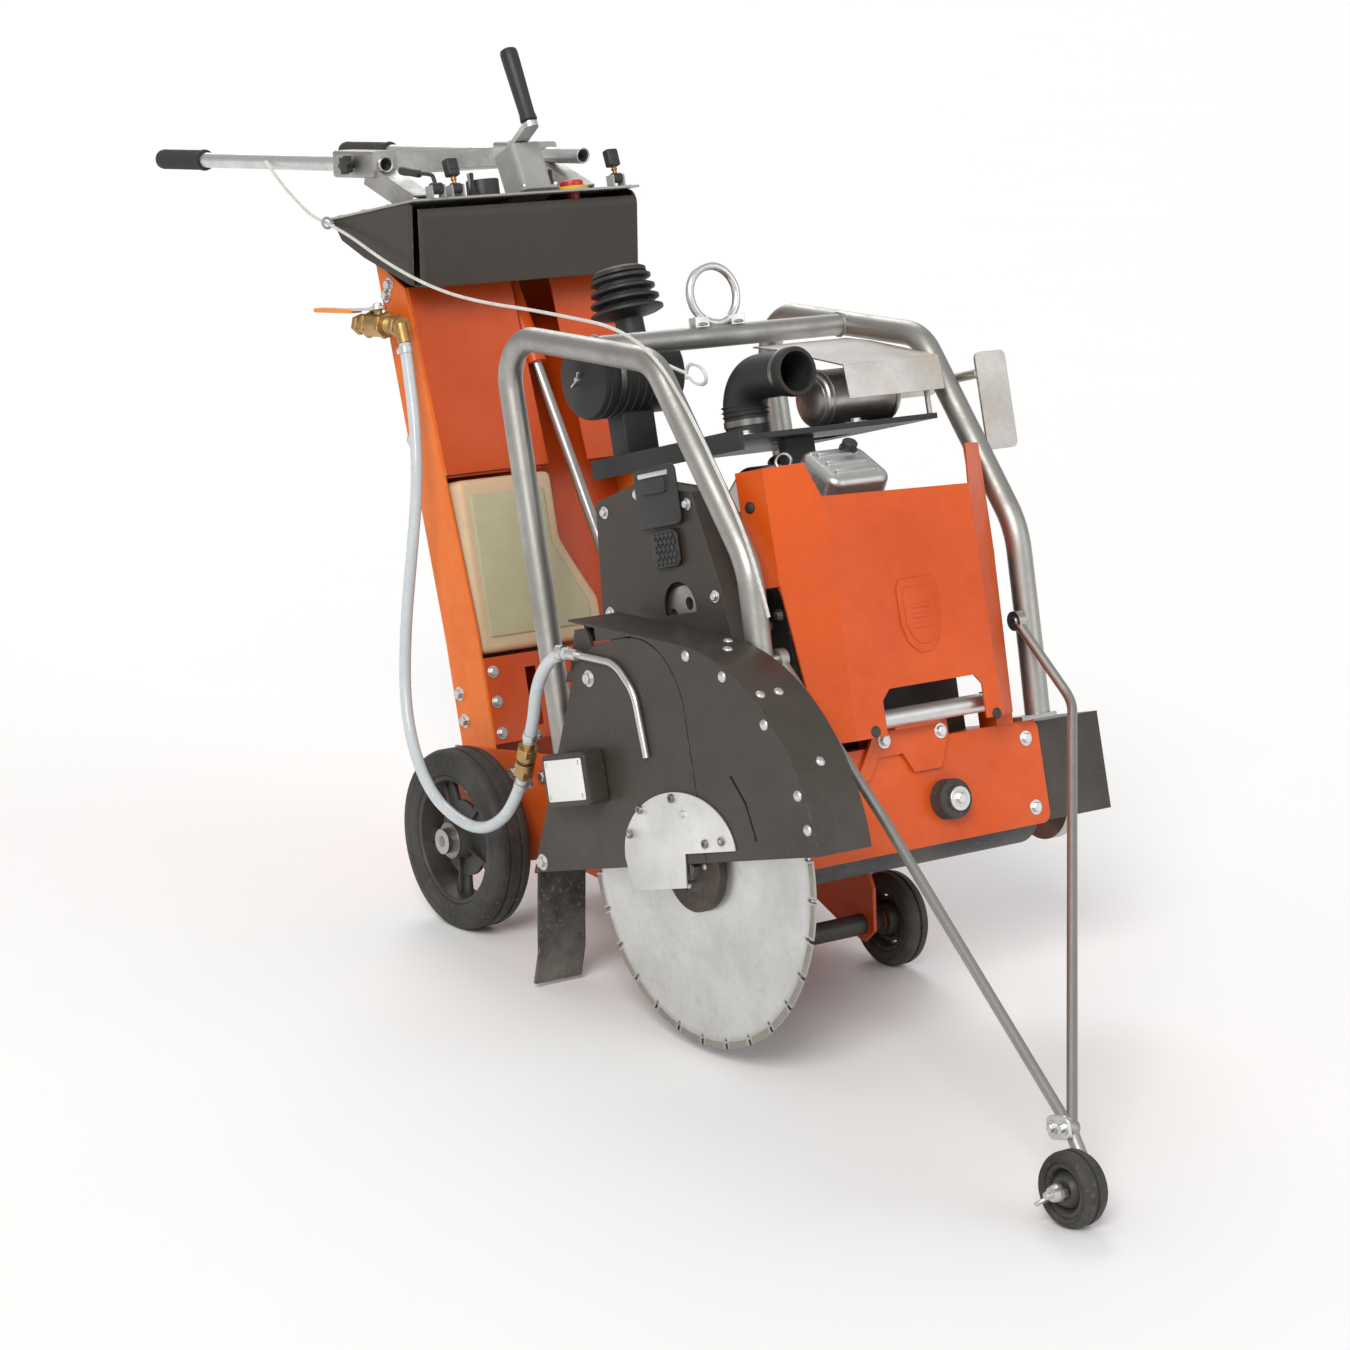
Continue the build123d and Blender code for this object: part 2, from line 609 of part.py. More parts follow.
def front_guard():
    y0, y1 = GUARD_Y
    edges, first, tail = guard_sweep(GUARD_R, 500)
    inner_edges, inner_first, inner_tail = guard_sweep(GUARD_R - SHEET, 500)
    rim_face = make_face(Wire(edges + inner_edges + [Line(first, inner_first),
                                                     Line(tail, inner_tail)]))
    rim = extrude(Plane.XZ.offset(-y1) * rim_face, y1 - y0, dir=(0, -1, 0))
    below = Vector(500, -48)
    corner = Vector(first.X, -48)
    face = make_face(Wire(edges + [Line(tail, below), Line(below, corner),
                                   Line(corner, first)]))
    face -= rear_plate(2.5)
    face -= Pos(480, 200) * Rectangle(160, 500)
    plate = extrude(Plane.XZ.offset(-y0 - SHEET) * face, SHEET, dir=(0, -1, 0))
    knuckle = cross_rod(GUARD_HINGE, y0 + 20, y1 - 22, 10)
    knuckle += outline([(507, 278), (521, 278), (521, 292), (507, 295)], y0 + 20, y1 - 22)
    slot_path = [(822, 63), (846, 26), (858, -24)]
    slot = outline(thick(slot_path, 5), y0 - 1, y0 + 4)
    return plate + rim + knuckle - slot - cross_rod(GUARD_HINGE, y0, y1, 6 + FIT)


def guard_water_tube():
    y = GUARD_Y[0] - 5
    points = [(509, y, 251), (605, y, 231), (640, y, 189), (647, y, 99)]
    tube = bent_rod(points, [60, 60], 5)
    inlet = rod((500, y - 3.2, 253), (522, y - 3.2, 248.5), 8)
    return tube + inlet


def guard_face_plates():
    y = GUARD_Y[0]
    arch = Pos(687, -34) * Ellipse(128, 84) - Pos(687, -134) * Rectangle(300, 200)
    arch += Pos(630, -57) * Rectangle(124, 47)
    cover = extrude(Plane.XZ.offset(-y + 1) * arch, 3, dir=(0, -1, 0))
    box = fillet(block(432, 540, y - 34, y, 44, 118).edges().filter_by(Axis.Y), 8)
    return [cover, box]


def mud_flap():
    path = [(354, 1), (321.2, -50), (302, -118), (290, -165), (268, -207)]
    y0, y1 = GUARD_Y
    slope = outline(thick([(300, -78), (560, 326)], SHEET), y0, y1)
    return outline(thick(path, 5), y0 + SHEET, y1 - 4.2) - slope


def left_flange_cover():
    cover = block(764, 768, BEAM_Y, 350, -80, 60)
    cover += block(640, 764, 246, 350, 57, 60)
    return cover + block(640, 768, 346, 350, -80, 60)


# ---- front cover, bracket and bumper ----
def front_cover():
    half = [(825, 128), (785, 190), (740, 203)]
    path = [(x, -y) for x, y in half[::-1]] + half
    face = make_face(Polyline(*thick(path, SHEET), close=True))
    cover = extrude(Pos(0, 0, 80) * face, 380, dir=(0, 0, 1))
    notch = front_outline([(-146, 470), (-128, 412), (130, 404), (142, 470)], 700, 900)
    mouth = front_outline([(-76, 70), (-76, 128), (-62, 142), (88, 142), (100, 128), (100, 70)],
                          700, 900)
    cover -= notch + mouth
    for side in (-1, 1):
        low = [(side * 215, 60), (side * 215, 300), (side * 189, 300), (side * 168, 60)]
        cover -= front_outline(low, 700, 900)
    top = block(812, 822, -60, 60, 396, 402)
    return cover + top


def cover_bracket():
    shape = [(-66, 84), (64, 84), (64, 66), (44, 22), (-4, 22), (-20, 50), (-62, 50),
             (-84, 22), (-106, 22)]
    plate = front_outline(shape, FRAME_FRONT, FRAME_FRONT + 6)
    shelf = block(745, FRAME_FRONT + 6, -66, 64, 84, 89) + block(745, 751, -66, 64, 65, 84)
    tube = rod((797, -118, 101), (797, 118, 101), 12) + block(781, 797, -40, 40, 84, 92)
    steps = [block(748, 786, *sorted((side * 148, side * 178)), FRAME_TOP, 112)
             for side in (-1, 1)]
    return [plate + shelf + tube] + steps


def bumper():
    y, z = 47, -23
    ring = rod((FRAME_FRONT, y, z), (FRAME_FRONT + 26, y, z), 28)
    ring = fillet(ring.edges().filter_by(GeomType.CIRCLE).sort_by(Axis.X)[-1], 6)
    return [ring, rod((FRAME_FRONT + 26, y, z), (FRAME_FRONT + 31, y, z), 13)]


# ---- water tank, valve and hoses ----
def water_tank():
    shape = [(-179, 268), (48, 268), (48, 330), (14, 390), (-6, 430), (-6, 535), (-179, 535)]
    tank = front_outline(shape, -66, 5)
    edges = tank.edges().filter_by(GeomType.LINE)
    return fillet(edges.filter_by(Axis.X), 9)


def ball_valve():
    body = rod((-128, -186, 796), (-128, -215, 796), 11)
    body += rod((-150, -215, 800), (-24, -215, 778), 13)
    body += rod((-112, -215, 793), (-68, -215, 785), 18)
    body += rod((-30, -215, 782), (-26, -215, 752), 10)
    stem = rod((-88, -215, 785), (-88, -215, 812), 6)
    return body + stem - rod((-150, -215, 800), (-130, -215, 796.5), 8)


def valve_lever():
    hub = rod((-88, -215, 812.4), (-88, -215, 818), 14)
    arm = outline([(-88, 812.4), (-88, 816), (-130, 822), (-262, 842), (-262, 838),
                   (-130, 818)], -224, -206)
    return hub + arm


WATER_HOSE = [(-26, -215, 752), (-24, -217, 700), (-14, -226, 620), (-12, -240, 530),
              (-28, -258, 430), (-46, -274, 335), (-56, -290, 225), (-34, -302, 140),
              (14, -310, 72), (84, -317, 34), (156, -324, 16), (226, -331, 26),
              (284, -338, 54), (326, -345, 88)]
GUARD_HOSE = [(366, -352, 138), (396, -358, 168), (420, -364, 204), (450, -366, 236),
              (482, -358, 256), (500, -351, 253)]
POINTER_ROPE = [(-440, -168, 1106), (-400, -172, 1066), (-336, -182, 1022), (-268, -200, 988),
                (-198, -216, 966), (-124, -221, 932), (-40, -226, 884), (55, -231, 838),
                (155, -238, 800), (260, -243, 770), (370, -246, 744), (470, -246, 717),
                (575, -247, 688), (662, -250, 638), (722, -252, 556), (774, -252, 456),
                (816, -250, 352), (826, -246, 262)]


def hose_coupling():
    start, end = Vector(326, -345, 88), Vector(366, -352, 138)
    run = end - start
    body = rod(start, end, 9) + rod(start + run * 0.15, start + run * 0.45, 14)
    body += rod(start + run * 0.55, start + run * 0.85, 14)
    return body


# ---- guide pointer ----
def pointer_frame():
    px, pz = GUIDE_PIVOT
    ax, az = GUIDE_AXLE
    fork = (ax - 26, -284, az + 66)
    right = [(px, -209, pz), (px + 190, -224, pz - 222), fork]
    left = [(px, 209, pz), (px + 92, 209, pz - 120), (ax - 30, -276, az + 70)]
    frame = bent_rod(right, [120], 7) + bent_rod(left, [60], 7)
    frame += rod(fork, (ax, -284, az), 8.5) + Pos(*fork) * Sphere(13)
    frame += cross_rod(GUIDE_AXLE, -336, -273, 7)
    for side in (-1, 1):
        hub = sorted((side * 203.5, side * 216.5))
        frame += cross_rod(GUIDE_PIVOT, *hub, 14)
        frame -= cross_rod(GUIDE_PIVOT, *sorted((side * 195, side * 230)), 6 + FIT)
    wing = block(ax - 16, ax + 16, -343, -336, az - 5, az + 5)
    return frame + wing


def pointer_pins():
    pieces = []
    for side in (-1, 1):
        ends = sorted((side * 202, side * (HOOP_Y - 10)))
        pin = cross_rod(GUIDE_PIVOT, *ends, 6)
        pieces.append(pin - hoop_solid(side))
    return pieces


def hoop_solid(side):
    y = side * HOOP_Y
    points = [(786, y, 335), (778, y, 160), (772, y, 71)]
    return bent_rod([(640, y, 630)] + points, [130, 300], HOOP_R)


# ---- fasteners ----
def bolt(point, direction, radius=7, height=6):
    direction = Vector(*direction)
    return extrude(Plane(origin=point, z_dir=direction) * RegularPolygon(radius, 6), height)


def frame_bolts():
    pieces = []
    for side in (-1, 1):
        for x, z in ((-92, 850), (-104, 835), (-92, 610), (-66, 214), (-62, 172)):
            pieces.append(bolt((x, side * COLUMN_Y, z), (0, side, 0)))
    for y, z in ((-50, 72), (50, 72)):
        pieces.append(bolt((FRAME_FRONT + 6, y, z), (1, 0, 0)))
    pieces += rear_brackets() + pointer_pins()
    return pieces


def guard_bolts():
    face = GUARD_Y[0]
    spots = [(345, face, -34), (400, face, 60), (530, face, 215),
             (580, face - 4, 0), (790, face - 4, -18), (710, face - 4, 20)]
    return [bolt(spot, (0, -1, 0), 5, 4) for spot in spots]


def build():
    right, left = -1, 1
    y0, y1 = REAR_WHEEL_Y
    f0, f1 = FRONT_WHEEL_Y
    nodes = {
        "base_frame": base_frame(),
        "column_housing": column_housing(),
        "console_housing": console_housing(),
        "console_panel": console_panel() + [rope_eye()] + lever_cheeks(),
        "crank_housing": crank_housing(),
        "crank_arm": crank_arm(),
        "crank_grip": crank_grip(),
        "handle_frame": handle_frame(),
        "handlebar_right": handlebar(right, 675),
        "handlebar_left": handlebar(left, 575),
        "throttle_lever": throttle_lever(),
        "choke_lever": paddle(40, -125),
        "speed_lever": paddle(40, 172),
        "stop_button": stop_button(),
        "lift_screw": lift_screw(),
        "front_arm": front_arm(),
        "front_wheel_right": wheel(FRONT_AXLE, FRONT_WHEEL_R, -f1, -f0, 10, 24, 6),
        "front_wheel_left": wheel(FRONT_AXLE, FRONT_WHEEL_R, f0, f1, 10, 24, 6),
        "rear_axle": rear_axle(),
        "rear_wheel_right": wheel((0, 0), REAR_WHEEL_R, -y1, -y0, 12.5, 40, 5),
        "rear_wheel_left": wheel((0, 0), REAR_WHEEL_R, y0, y1, 12.5, 40, 5),
        "hoop_right": side_hoop(right),
        "hoop_left": side_hoop(left),
        "hoop_crossbar": hoop_crossbar(),
        "lifting_ring": lifting_ring(),
        "engine_crankcase": engine_crankcase(),
        "engine_cylinders": engine_cylinders(),
        "valve_covers": valve_covers(),
        "engine_shroud": engine_shroud(),
        "air_cleaner": air_cleaner(),
        "intake_elbow": intake_elbow(),
        "muffler": muffler(),
        "heat_shields": heat_shields(),
        "control_box": control_box(),
        "belt_guard": belt_guard(),
        "drive_belts": drive_belts(),
        "engine_pulley": engine_pulley(),
        "blade_shaft": blade_shaft(),
        "shaft_bearings": shaft_bearings(),
        "saw_blade": saw_blade(),
        "blade_flanges": blade_flanges(),
        "rear_guard": rear_guard(),
        "front_guard": front_guard(),
        "guard_water_tube": guard_water_tube(),
        "guard_face_plates": guard_face_plates(),
        "mud_flap": mud_flap(),
        "left_flange_cover": left_flange_cover(),
        "front_cover": front_cover(),
        "cover_bracket": cover_bracket(),
        "bumper": bumper(),
        "water_tank": water_tank(),
        "ball_valve": ball_valve(),
        "valve_lever": valve_lever(),
        "pointer_frame": pointer_frame(),
        "pointer_wheel": wheel(GUIDE_AXLE, GUIDE_WHEEL_R, *GUIDE_WHEEL_Y, 7, 14, 5),
        "frame_bolts": frame_bolts() + guard_bolts(),
        "hose_coupling": hose_coupling(),
        "water_hose": limp_cord("water_hose", WATER_HOSE, HOSE_R),
        "guard_hose": limp_cord("guard_hose", GUARD_HOSE, HOSE_R),
        "pointer_rope": limp_cord("pointer_rope", POINTER_ROPE, ROPE_R),
    }
    return nodes


def single(shape):
    """One shape from a piece or a list of pieces, as solids only."""
    pieces = shape if isinstance(shape, list) else [shape]
    solids = [solid for piece in pieces for solid in piece.solids()]
    return solids[0] if len(solids) == 1 else Compound(solids)


CORDS = ("hose_coupling", "water_hose", "guard_hose", "pointer_rope")


def machine():
    """Every node in the standing pose, origin at the bounding box's bottom centre."""
    stand = Pos(0, 0, REAR_WHEEL_R) * Rot(0, -NOSE_UP, 0)
    nodes = {name: stand * single(shape) for name, shape in build().items()}
    rigid = Compound([shape for name, shape in nodes.items() if name not in CORDS])
    box = rigid.bounding_box()
    shift = Vector(-(box.min.X + box.max.X) / 2, -(box.min.Y + box.max.Y) / 2, -box.min.Z)
    print("shift", tuple(round(value, 3) for value in shift))
    return {name: Pos(*shift) * shape for name, shape in nodes.items()}


if __name__ == "__main__":
    for name, shape in machine().items():
        export_step(shape, f"parts/{name}.step")
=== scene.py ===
import json
from math import atan2, cos, pi, radians, sin

import bmesh
import bpy
from mathutils import Matrix, Vector


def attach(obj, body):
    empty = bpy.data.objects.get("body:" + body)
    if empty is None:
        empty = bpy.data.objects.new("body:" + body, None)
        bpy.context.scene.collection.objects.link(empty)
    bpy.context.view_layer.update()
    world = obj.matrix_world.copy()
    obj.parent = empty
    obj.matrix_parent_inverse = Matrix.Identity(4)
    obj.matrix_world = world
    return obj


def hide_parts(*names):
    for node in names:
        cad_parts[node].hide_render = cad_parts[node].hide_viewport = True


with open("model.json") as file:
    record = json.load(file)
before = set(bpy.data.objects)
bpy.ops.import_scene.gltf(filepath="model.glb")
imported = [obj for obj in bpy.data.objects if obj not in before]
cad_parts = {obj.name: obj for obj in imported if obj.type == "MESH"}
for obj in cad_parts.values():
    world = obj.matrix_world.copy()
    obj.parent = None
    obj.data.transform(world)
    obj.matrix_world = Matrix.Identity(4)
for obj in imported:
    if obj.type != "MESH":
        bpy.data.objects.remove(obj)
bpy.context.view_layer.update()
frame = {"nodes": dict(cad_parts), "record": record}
NODES = frame["nodes"]
JOINTS = {joint["name"]: joint for joint in frame["record"]["behaviour"]["joints"]}

# The machine stands nose up. Pieces are laid out in its own level frame, in millimetres
# from the rear axle: x to the guide wheel, y to the machine's left, z square to the deck.
AXLE = (Vector(JOINTS["rear_wheel_right_spin"]["pos_m"])
        + Vector(JOINTS["rear_wheel_left_spin"]["pos_m"])) / 2
DECK_UP = Vector(JOINTS["valve_turn"]["axis"])
NOSE_UP = atan2(-DECK_UP.x, DECK_UP.z)
STANDING = (Matrix.Translation(AXLE) @ Matrix.Rotation(-NOSE_UP, 4, "Y")
            @ Matrix.Scale(0.001, 4))
MM = 0.001
SHARP_CORNER = 35           # degrees; edges sharper than this are not smoothed
BLADE_X, BLADE_Z = 684, -54
BLADE_SLOTS = 28
BLADE_RADIUS = 250
ENGINE_X, ENGINE_Z = 620, 262
FRONT_AXLE = (477, -200.9)
GUIDE_AXLE = (1352, -465.6)
GUARD_FACE = -345


def at(x, y, z):
    """A point of the level frame, in the standing frame."""
    return STANDING @ Vector((x, y, z))


# ---- camera ----
def look(place, azimuth, down, roll, lens):
    """The camera, from its place, its heading in degrees and its lens."""
    a, p, r = radians(azimuth), radians(down), radians(roll)
    ahead = Vector((-sin(a) * cos(p), cos(a) * cos(p), -sin(p)))
    right = Vector((cos(a), sin(a), 0))
    below = ahead.cross(right)
    side = right * cos(r) + below * sin(r)
    under = below * cos(r) - right * sin(r)
    data = bpy.data.cameras.new("camera")
    data.sensor_width, data.lens = 36, lens
    data.clip_start, data.clip_end = 0.05, 100
    camera = bpy.data.objects.new("camera", data)
    turn = Matrix((side, -under, -ahead)).transposed().to_4x4()
    camera.matrix_world = Matrix.Translation(place) @ turn
    bpy.context.scene.collection.objects.link(camera)
    bpy.context.scene.camera = camera


look((4.2811, -3.1222, 1.6555), 53.8, 13.4, -0.5, 97.69)


# ---- node trees ----
class Tree:
    """Short calls that add nodes to one tree and join them."""

    def __init__(self, tree):
        self.tree = tree

    def add(self, kind, sockets=(), **settings):
        node = self.tree.nodes.new(kind)
        for key, value in settings.items():
            setattr(node, key, value)
        for key, value in dict(sockets).items():
            self.put(node.inputs[key], value)
        return node

    def put(self, socket, value):
        if isinstance(value, bpy.types.NodeSocket):
            self.tree.links.new(value, socket)
        else:
            socket.default_value = value

    def maths(self, operation, *values, clamp=False):
        node = self.add("ShaderNodeMath", operation=operation, use_clamp=clamp)
        for socket, value in zip(node.inputs, values):
            self.put(socket, value)
        return node.outputs[0]

    def mixed(self, mask, first, second):
        node = self.add("ShaderNodeMix", data_type="RGBA")
        for socket, value in zip((node.inputs[0], node.inputs[6], node.inputs[7]),
                                 (mask, first, second)):
            self.put(socket, value)
        return node.outputs[2]

    def ramped(self, value, low, high, to_low=0.0, to_high=1.0):
        node = self.add("ShaderNodeMapRange")
        for key, number in zip(range(5), (value, low, high, to_low, to_high)):
            self.put(node.inputs[key], number)
        return node.outputs[0]

    def noise(self, vector, scale, detail=3.0, rough=0.55):
        node = self.add("ShaderNodeTexNoise", {"Vector": vector, "Scale": scale,
                                               "Detail": detail, "Roughness": rough})
        return node.outputs["Fac"]


def shader_group(name, inputs, outputs, fill):
    """A node group of values: inputs are (name, default), outputs (name, kind)."""
    tree = bpy.data.node_groups.new(name, "ShaderNodeTree")
    kinds = {float: "NodeSocketFloat", tuple: "NodeSocketColor", Vector: "NodeSocketVector"}
    for label, default in inputs:
        socket = tree.interface.new_socket(label, in_out="INPUT", socket_type=kinds[type(default)])
        if not isinstance(default, Vector):
            socket.default_value = default
    for label, kind in outputs:
        tree.interface.new_socket(label, in_out="OUTPUT", socket_type=kind)
    inside = Tree(tree)
    start, end = inside.add("NodeGroupInput"), inside.add("NodeGroupOutput")
    for label, value in fill(inside, start.outputs).items():
        tree.links.new(value, end.inputs[label])
    return tree


FLOAT, COLOUR, NORMAL = "NodeSocketFloat", "NodeSocketColor", "NodeSocketVector"
WHERE = ("Place", Vector((0, 0, 0)))


def soft_edges(t, given):
    """Rounds the corners in the normal, and finds where corners are."""
    bevel = t.add("ShaderNodeBevel", {"Radius": given["Radius"]}, samples=5)
    flat = t.add("ShaderNodeNewGeometry")
    dot = t.add("ShaderNodeVectorMath", operation="DOT_PRODUCT")
    t.put(dot.inputs[0], bevel.outputs[0])
    t.put(dot.inputs[1], flat.outputs["Normal"])
    return {"Normal": bevel.outputs[0], "Edge": t.ramped(dot.outputs["Value"], 0.995, 0.86)}


def worn_edges(t, given):
    """Corner wear: the corner mask broken up by scratches and chips."""
    chips = t.ramped(t.noise(given["Place"], given["Scale"], 6, 0.7), 0.42, 0.62)
    scuffs = t.ramped(t.noise(given["Place"], given["Scale"], 2, 0.5), 0.35, 0.7)
    mask = t.maths("MULTIPLY", given["Edge"], t.maths("MULTIPLY", chips, scuffs))
    return {"Mask": t.maths("MULTIPLY", mask, given["Amount"], clamp=True)}


def patches(t, given):
    """Slow colour changes over a surface, with a finer mottle on top."""
    slow = t.noise(given["Place"], given["Scale"], 4, 0.6)
    fine = t.noise(given["Place"], t.maths("MULTIPLY", given["Scale"], 14.0), 3, 0.6)
    mask = t.ramped(t.maths("ADD", t.maths("MULTIPLY", slow, 0.75),
                            t.maths("MULTIPLY", fine, 0.25)), 0.36, 0.64)
    return {"Colour": t.mixed(mask, given["First"], given["Second"]), "Mask": mask}


def dust(t, given):
    """Slurry dust: thick near the ground, thin higher up, and in blotches."""
    parts = t.add("ShaderNodeSeparateXYZ", {0: given["Place"]})
    low = t.ramped(parts.outputs[2], given["Height"], 0.0)
    blotch = t.ramped(t.noise(given["Place"], 9.0, 5, 0.65), 0.38, 0.72)
    spots = t.ramped(t.noise(given["Place"], 160.0, 2, 0.5), 0.56, 0.72)
    thick = t.maths("MULTIPLY", low, t.maths("MAXIMUM", blotch, spots))
    return {"Mask": t.maths("MULTIPLY", thick, given["Amount"], clamp=True)}


def streaks(t, given):
    """Fine lines drawn along one direction, from stretched noise."""
    stretch = t.add("ShaderNodeVectorMath", {0: given["Place"], 1: given["Stretch"]},
                    operation="MULTIPLY")
    coarse = t.noise(stretch.outputs[0], 1.0, 4, 0.6)
    fine = t.noise(stretch.outputs[0], 3.7, 3, 0.7)
    return {"Height": t.maths("ADD", t.maths("MULTIPLY", coarse, 0.6),
                              t.maths("MULTIPLY", fine, 0.4))}


def pebbles(t, given):
    """Small rounded bumps, as on moulded plastic, cast metal or rubber."""
    cells = t.add("ShaderNodeTexVoronoi", {"Vector": given["Place"], "Scale": given["Scale"]},
                  feature="SMOOTH_F1")
    grain = t.noise(given["Place"], t.maths("MULTIPLY", given["Scale"], 0.6), 5, 0.65)
    return {"Height": t.maths("ADD", t.maths("MULTIPLY", cells.outputs["Distance"], 0.5), grain)}


GROUPS = {
    "soft_edges": shader_group("soft_edges", [("Radius", 0.001)],
                               [("Normal", NORMAL), ("Edge", FLOAT)], soft_edges),
    "worn_edges": shader_group("worn_edges", [WHERE, ("Edge", 0.0), ("Scale", 90.0),
                                              ("Amount", 1.0)], [("Mask", FLOAT)], worn_edges),
    "patches": shader_group("patches", [WHERE, ("Scale", 5.0), ("First", (0.5, 0.5, 0.5, 1)),
                                        ("Second", (0.4, 0.4, 0.4, 1))],
                            [("Colour", COLOUR), ("Mask", FLOAT)], patches),
    "dust": shader_group("dust", [WHERE, ("Height", 1.0), ("Amount", 0.3)],
                         [("Mask", FLOAT)], dust),
    "streaks": shader_group("streaks", [WHERE, ("Stretch", Vector((0, 0, 0)))],
                            [("Height", FLOAT)], streaks),
    "pebbles": shader_group("pebbles", [WHERE, ("Scale", 900.0)], [("Height", FLOAT)], pebbles),
}


class Finish:
    """A material under construction, with its shader and its place on the object."""

    def __init__(self, name, **shader):
        self.material = bpy.data.materials.new(name)
        self.material.use_nodes = True
        self.t = Tree(self.material.node_tree)
        self.shader = self.material.node_tree.nodes["Principled BSDF"]
        for key, value in shader.items():
            self.shader.inputs[key.replace("_", " ")].default_value = value
        self.place = self.t.add("ShaderNodeTexCoord").outputs["Object"]

    def use(self, group, **sockets):
        node = self.t.add("ShaderNodeGroup", node_tree=GROUPS[group])
        if "Place" in node.inputs:
            self.t.put(node.inputs["Place"], sockets.pop("Place", self.place))
        for key, value in sockets.items():
            self.t.put(node.inputs[key], value)
        return node.outputs

    def bump(self, height, strength, distance, normal=None):
        sockets = {"Height": height, "Strength": strength, "Distance": distance}
        if normal:
            sockets["Normal"] = normal
        return self.t.add("ShaderNodeBump", sockets).outputs[0]

    def done(self, colour, roughness, normal=None):
        self.t.put(self.shader.inputs["Base Color"], colour)
        self.t.put(self.shader.inputs["Roughness"], roughness)
        if normal:
            self.t.put(self.shader.inputs["Normal"], normal)
        return self.material


def rgb(red, green, blue):
    return (red, green, blue, 1.0)


DUST = rgb(0.42, 0.38, 0.33)
BARE = rgb(0.32, 0.30, 0.28)


def paint(name, first, second, rough=0.32, wear=0.6, edge=0.0014, coat=0.12, grime=0.10):
    """Sprayed paint: orange peel, faded patches, chipped corners and dust low down."""
    f = Finish(name, Coat_Weight=coat, Coat_Roughness=0.18, Specular_IOR_Level=0.30)
    edges = f.use("soft_edges", Radius=edge)
    chips = f.use("worn_edges", Edge=edges["Edge"], Scale=70.0, Amount=wear)["Mask"]
    base = f.use("patches", Scale=4.0, First=first, Second=second)
    dirt = f.use("dust", Height=0.75, Amount=grime)["Mask"]
    colour = f.t.mixed(dirt, base["Colour"], DUST)
    colour = f.t.mixed(chips, colour, BARE)
    rough_value = f.t.ramped(f.t.maths("ADD", base["Mask"], dirt), 0.0, 1.4, rough, rough + 0.28)
    peel = f.use("pebbles", Scale=420.0)["Height"]
    return f.done(colour, rough_value, f.bump(peel, 0.10, 0.0004, edges["Normal"]))


def plated(name, first, second, rough=0.28, stretch=None, wear=0.0, metallic=1.0):
    """Zinc plate or bare steel: cloudy patches, fine lines and dulled corners."""
    f = Finish(name, Metallic=metallic)
    edges = f.use("soft_edges", Radius=0.0009)
    base = f.use("patches", Scale=16.0, First=first, Second=second)
    dirt = f.use("dust", Height=0.6, Amount=0.25)["Mask"]
    colour = f.t.mixed(dirt, base["Colour"], DUST)
    if wear:
        chips = f.use("worn_edges", Edge=edges["Edge"], Scale=120.0, Amount=wear)["Mask"]
        colour = f.t.mixed(chips, colour, rgb(0.75, 0.75, 0.74))
    if stretch:
        lines = f.use("streaks", Stretch=Vector(stretch))["Height"]
    else:
        lines = f.use("pebbles", Scale=700.0)["Height"]
    rough_value = f.t.ramped(f.t.maths("ADD", base["Mask"], lines), 0.3, 1.6, rough, rough + 0.25)
    return f.done(colour, rough_value, f.bump(lines, 0.12, 0.0003, edges["Normal"]))


def moulded(name, first, second, rough=0.5, grain=900.0, depth=0.22, edge=0.0012,
            grime=0.35, **shader):
    """Moulded plastic or rubber: pebbled grain, faded patches and dust."""
    f = Finish(name, **shader)
    edges = f.use("soft_edges", Radius=edge)
    base = f.use("patches", Scale=6.0, First=first, Second=second)
    dirt = f.use("dust", Height=0.7, Amount=grime)["Mask"]
    scuff = f.use("worn_edges", Edge=edges["Edge"], Scale=60.0, Amount=0.35)["Mask"]
    colour = f.t.mixed(dirt, base["Colour"], DUST)
    colour = f.t.mixed(scuff, colour, rgb(0.16, 0.155, 0.15))
    height = f.use("pebbles", Scale=grain)["Height"]
    rough_value = f.t.ramped(f.t.maths("ADD", base["Mask"], dirt), 0.0, 1.3, rough, rough + 0.2)
    return f.done(colour, rough_value, f.bump(height, depth, 0.0004, edges["Normal"]))


def column_paint():
    """Two oranges: the column's side plates are yellower than its panels."""
    f = Finish("column_paint", Coat_Weight=0.12, Coat_Roughness=0.18, Specular_IOR_Level=0.3)
    edges = f.use("soft_edges", Radius=0.0014)
    chips = f.use("worn_edges", Edge=edges["Edge"], Scale=70.0, Amount=0.7)["Mask"]
    panels = f.use("patches", Scale=3.0, First=rgb(0.58, 0.070, 0.002),
                   Second=rgb(0.49, 0.052, 0.002))
    sides = f.use("patches", Scale=3.0, First=rgb(0.86, 0.19, 0.008),
                  Second=rgb(0.72, 0.13, 0.005))
    y = f.t.add("ShaderNodeSeparateXYZ", {0: f.place}).outputs[1]
    off_centre = f.t.maths("ABSOLUTE", f.t.maths("SUBTRACT", y, AXLE.y))
    outer = f.t.maths("GREATER_THAN", off_centre, 181.5 * MM)
    colour = f.t.mixed(outer, panels["Colour"], sides["Colour"])
    dirt = f.use("dust", Height=0.8, Amount=0.12)["Mask"]
    colour = f.t.mixed(chips, f.t.mixed(dirt, colour, DUST), BARE)
    rough = f.t.ramped(f.t.maths("ADD", panels["Mask"], dirt), 0.0, 1.4, 0.33, 0.6)
    peel = f.use("pebbles", Scale=420.0)["Height"]
    return f.done(colour, rough, f.bump(peel, 0.1, 0.0004, edges["Normal"]))


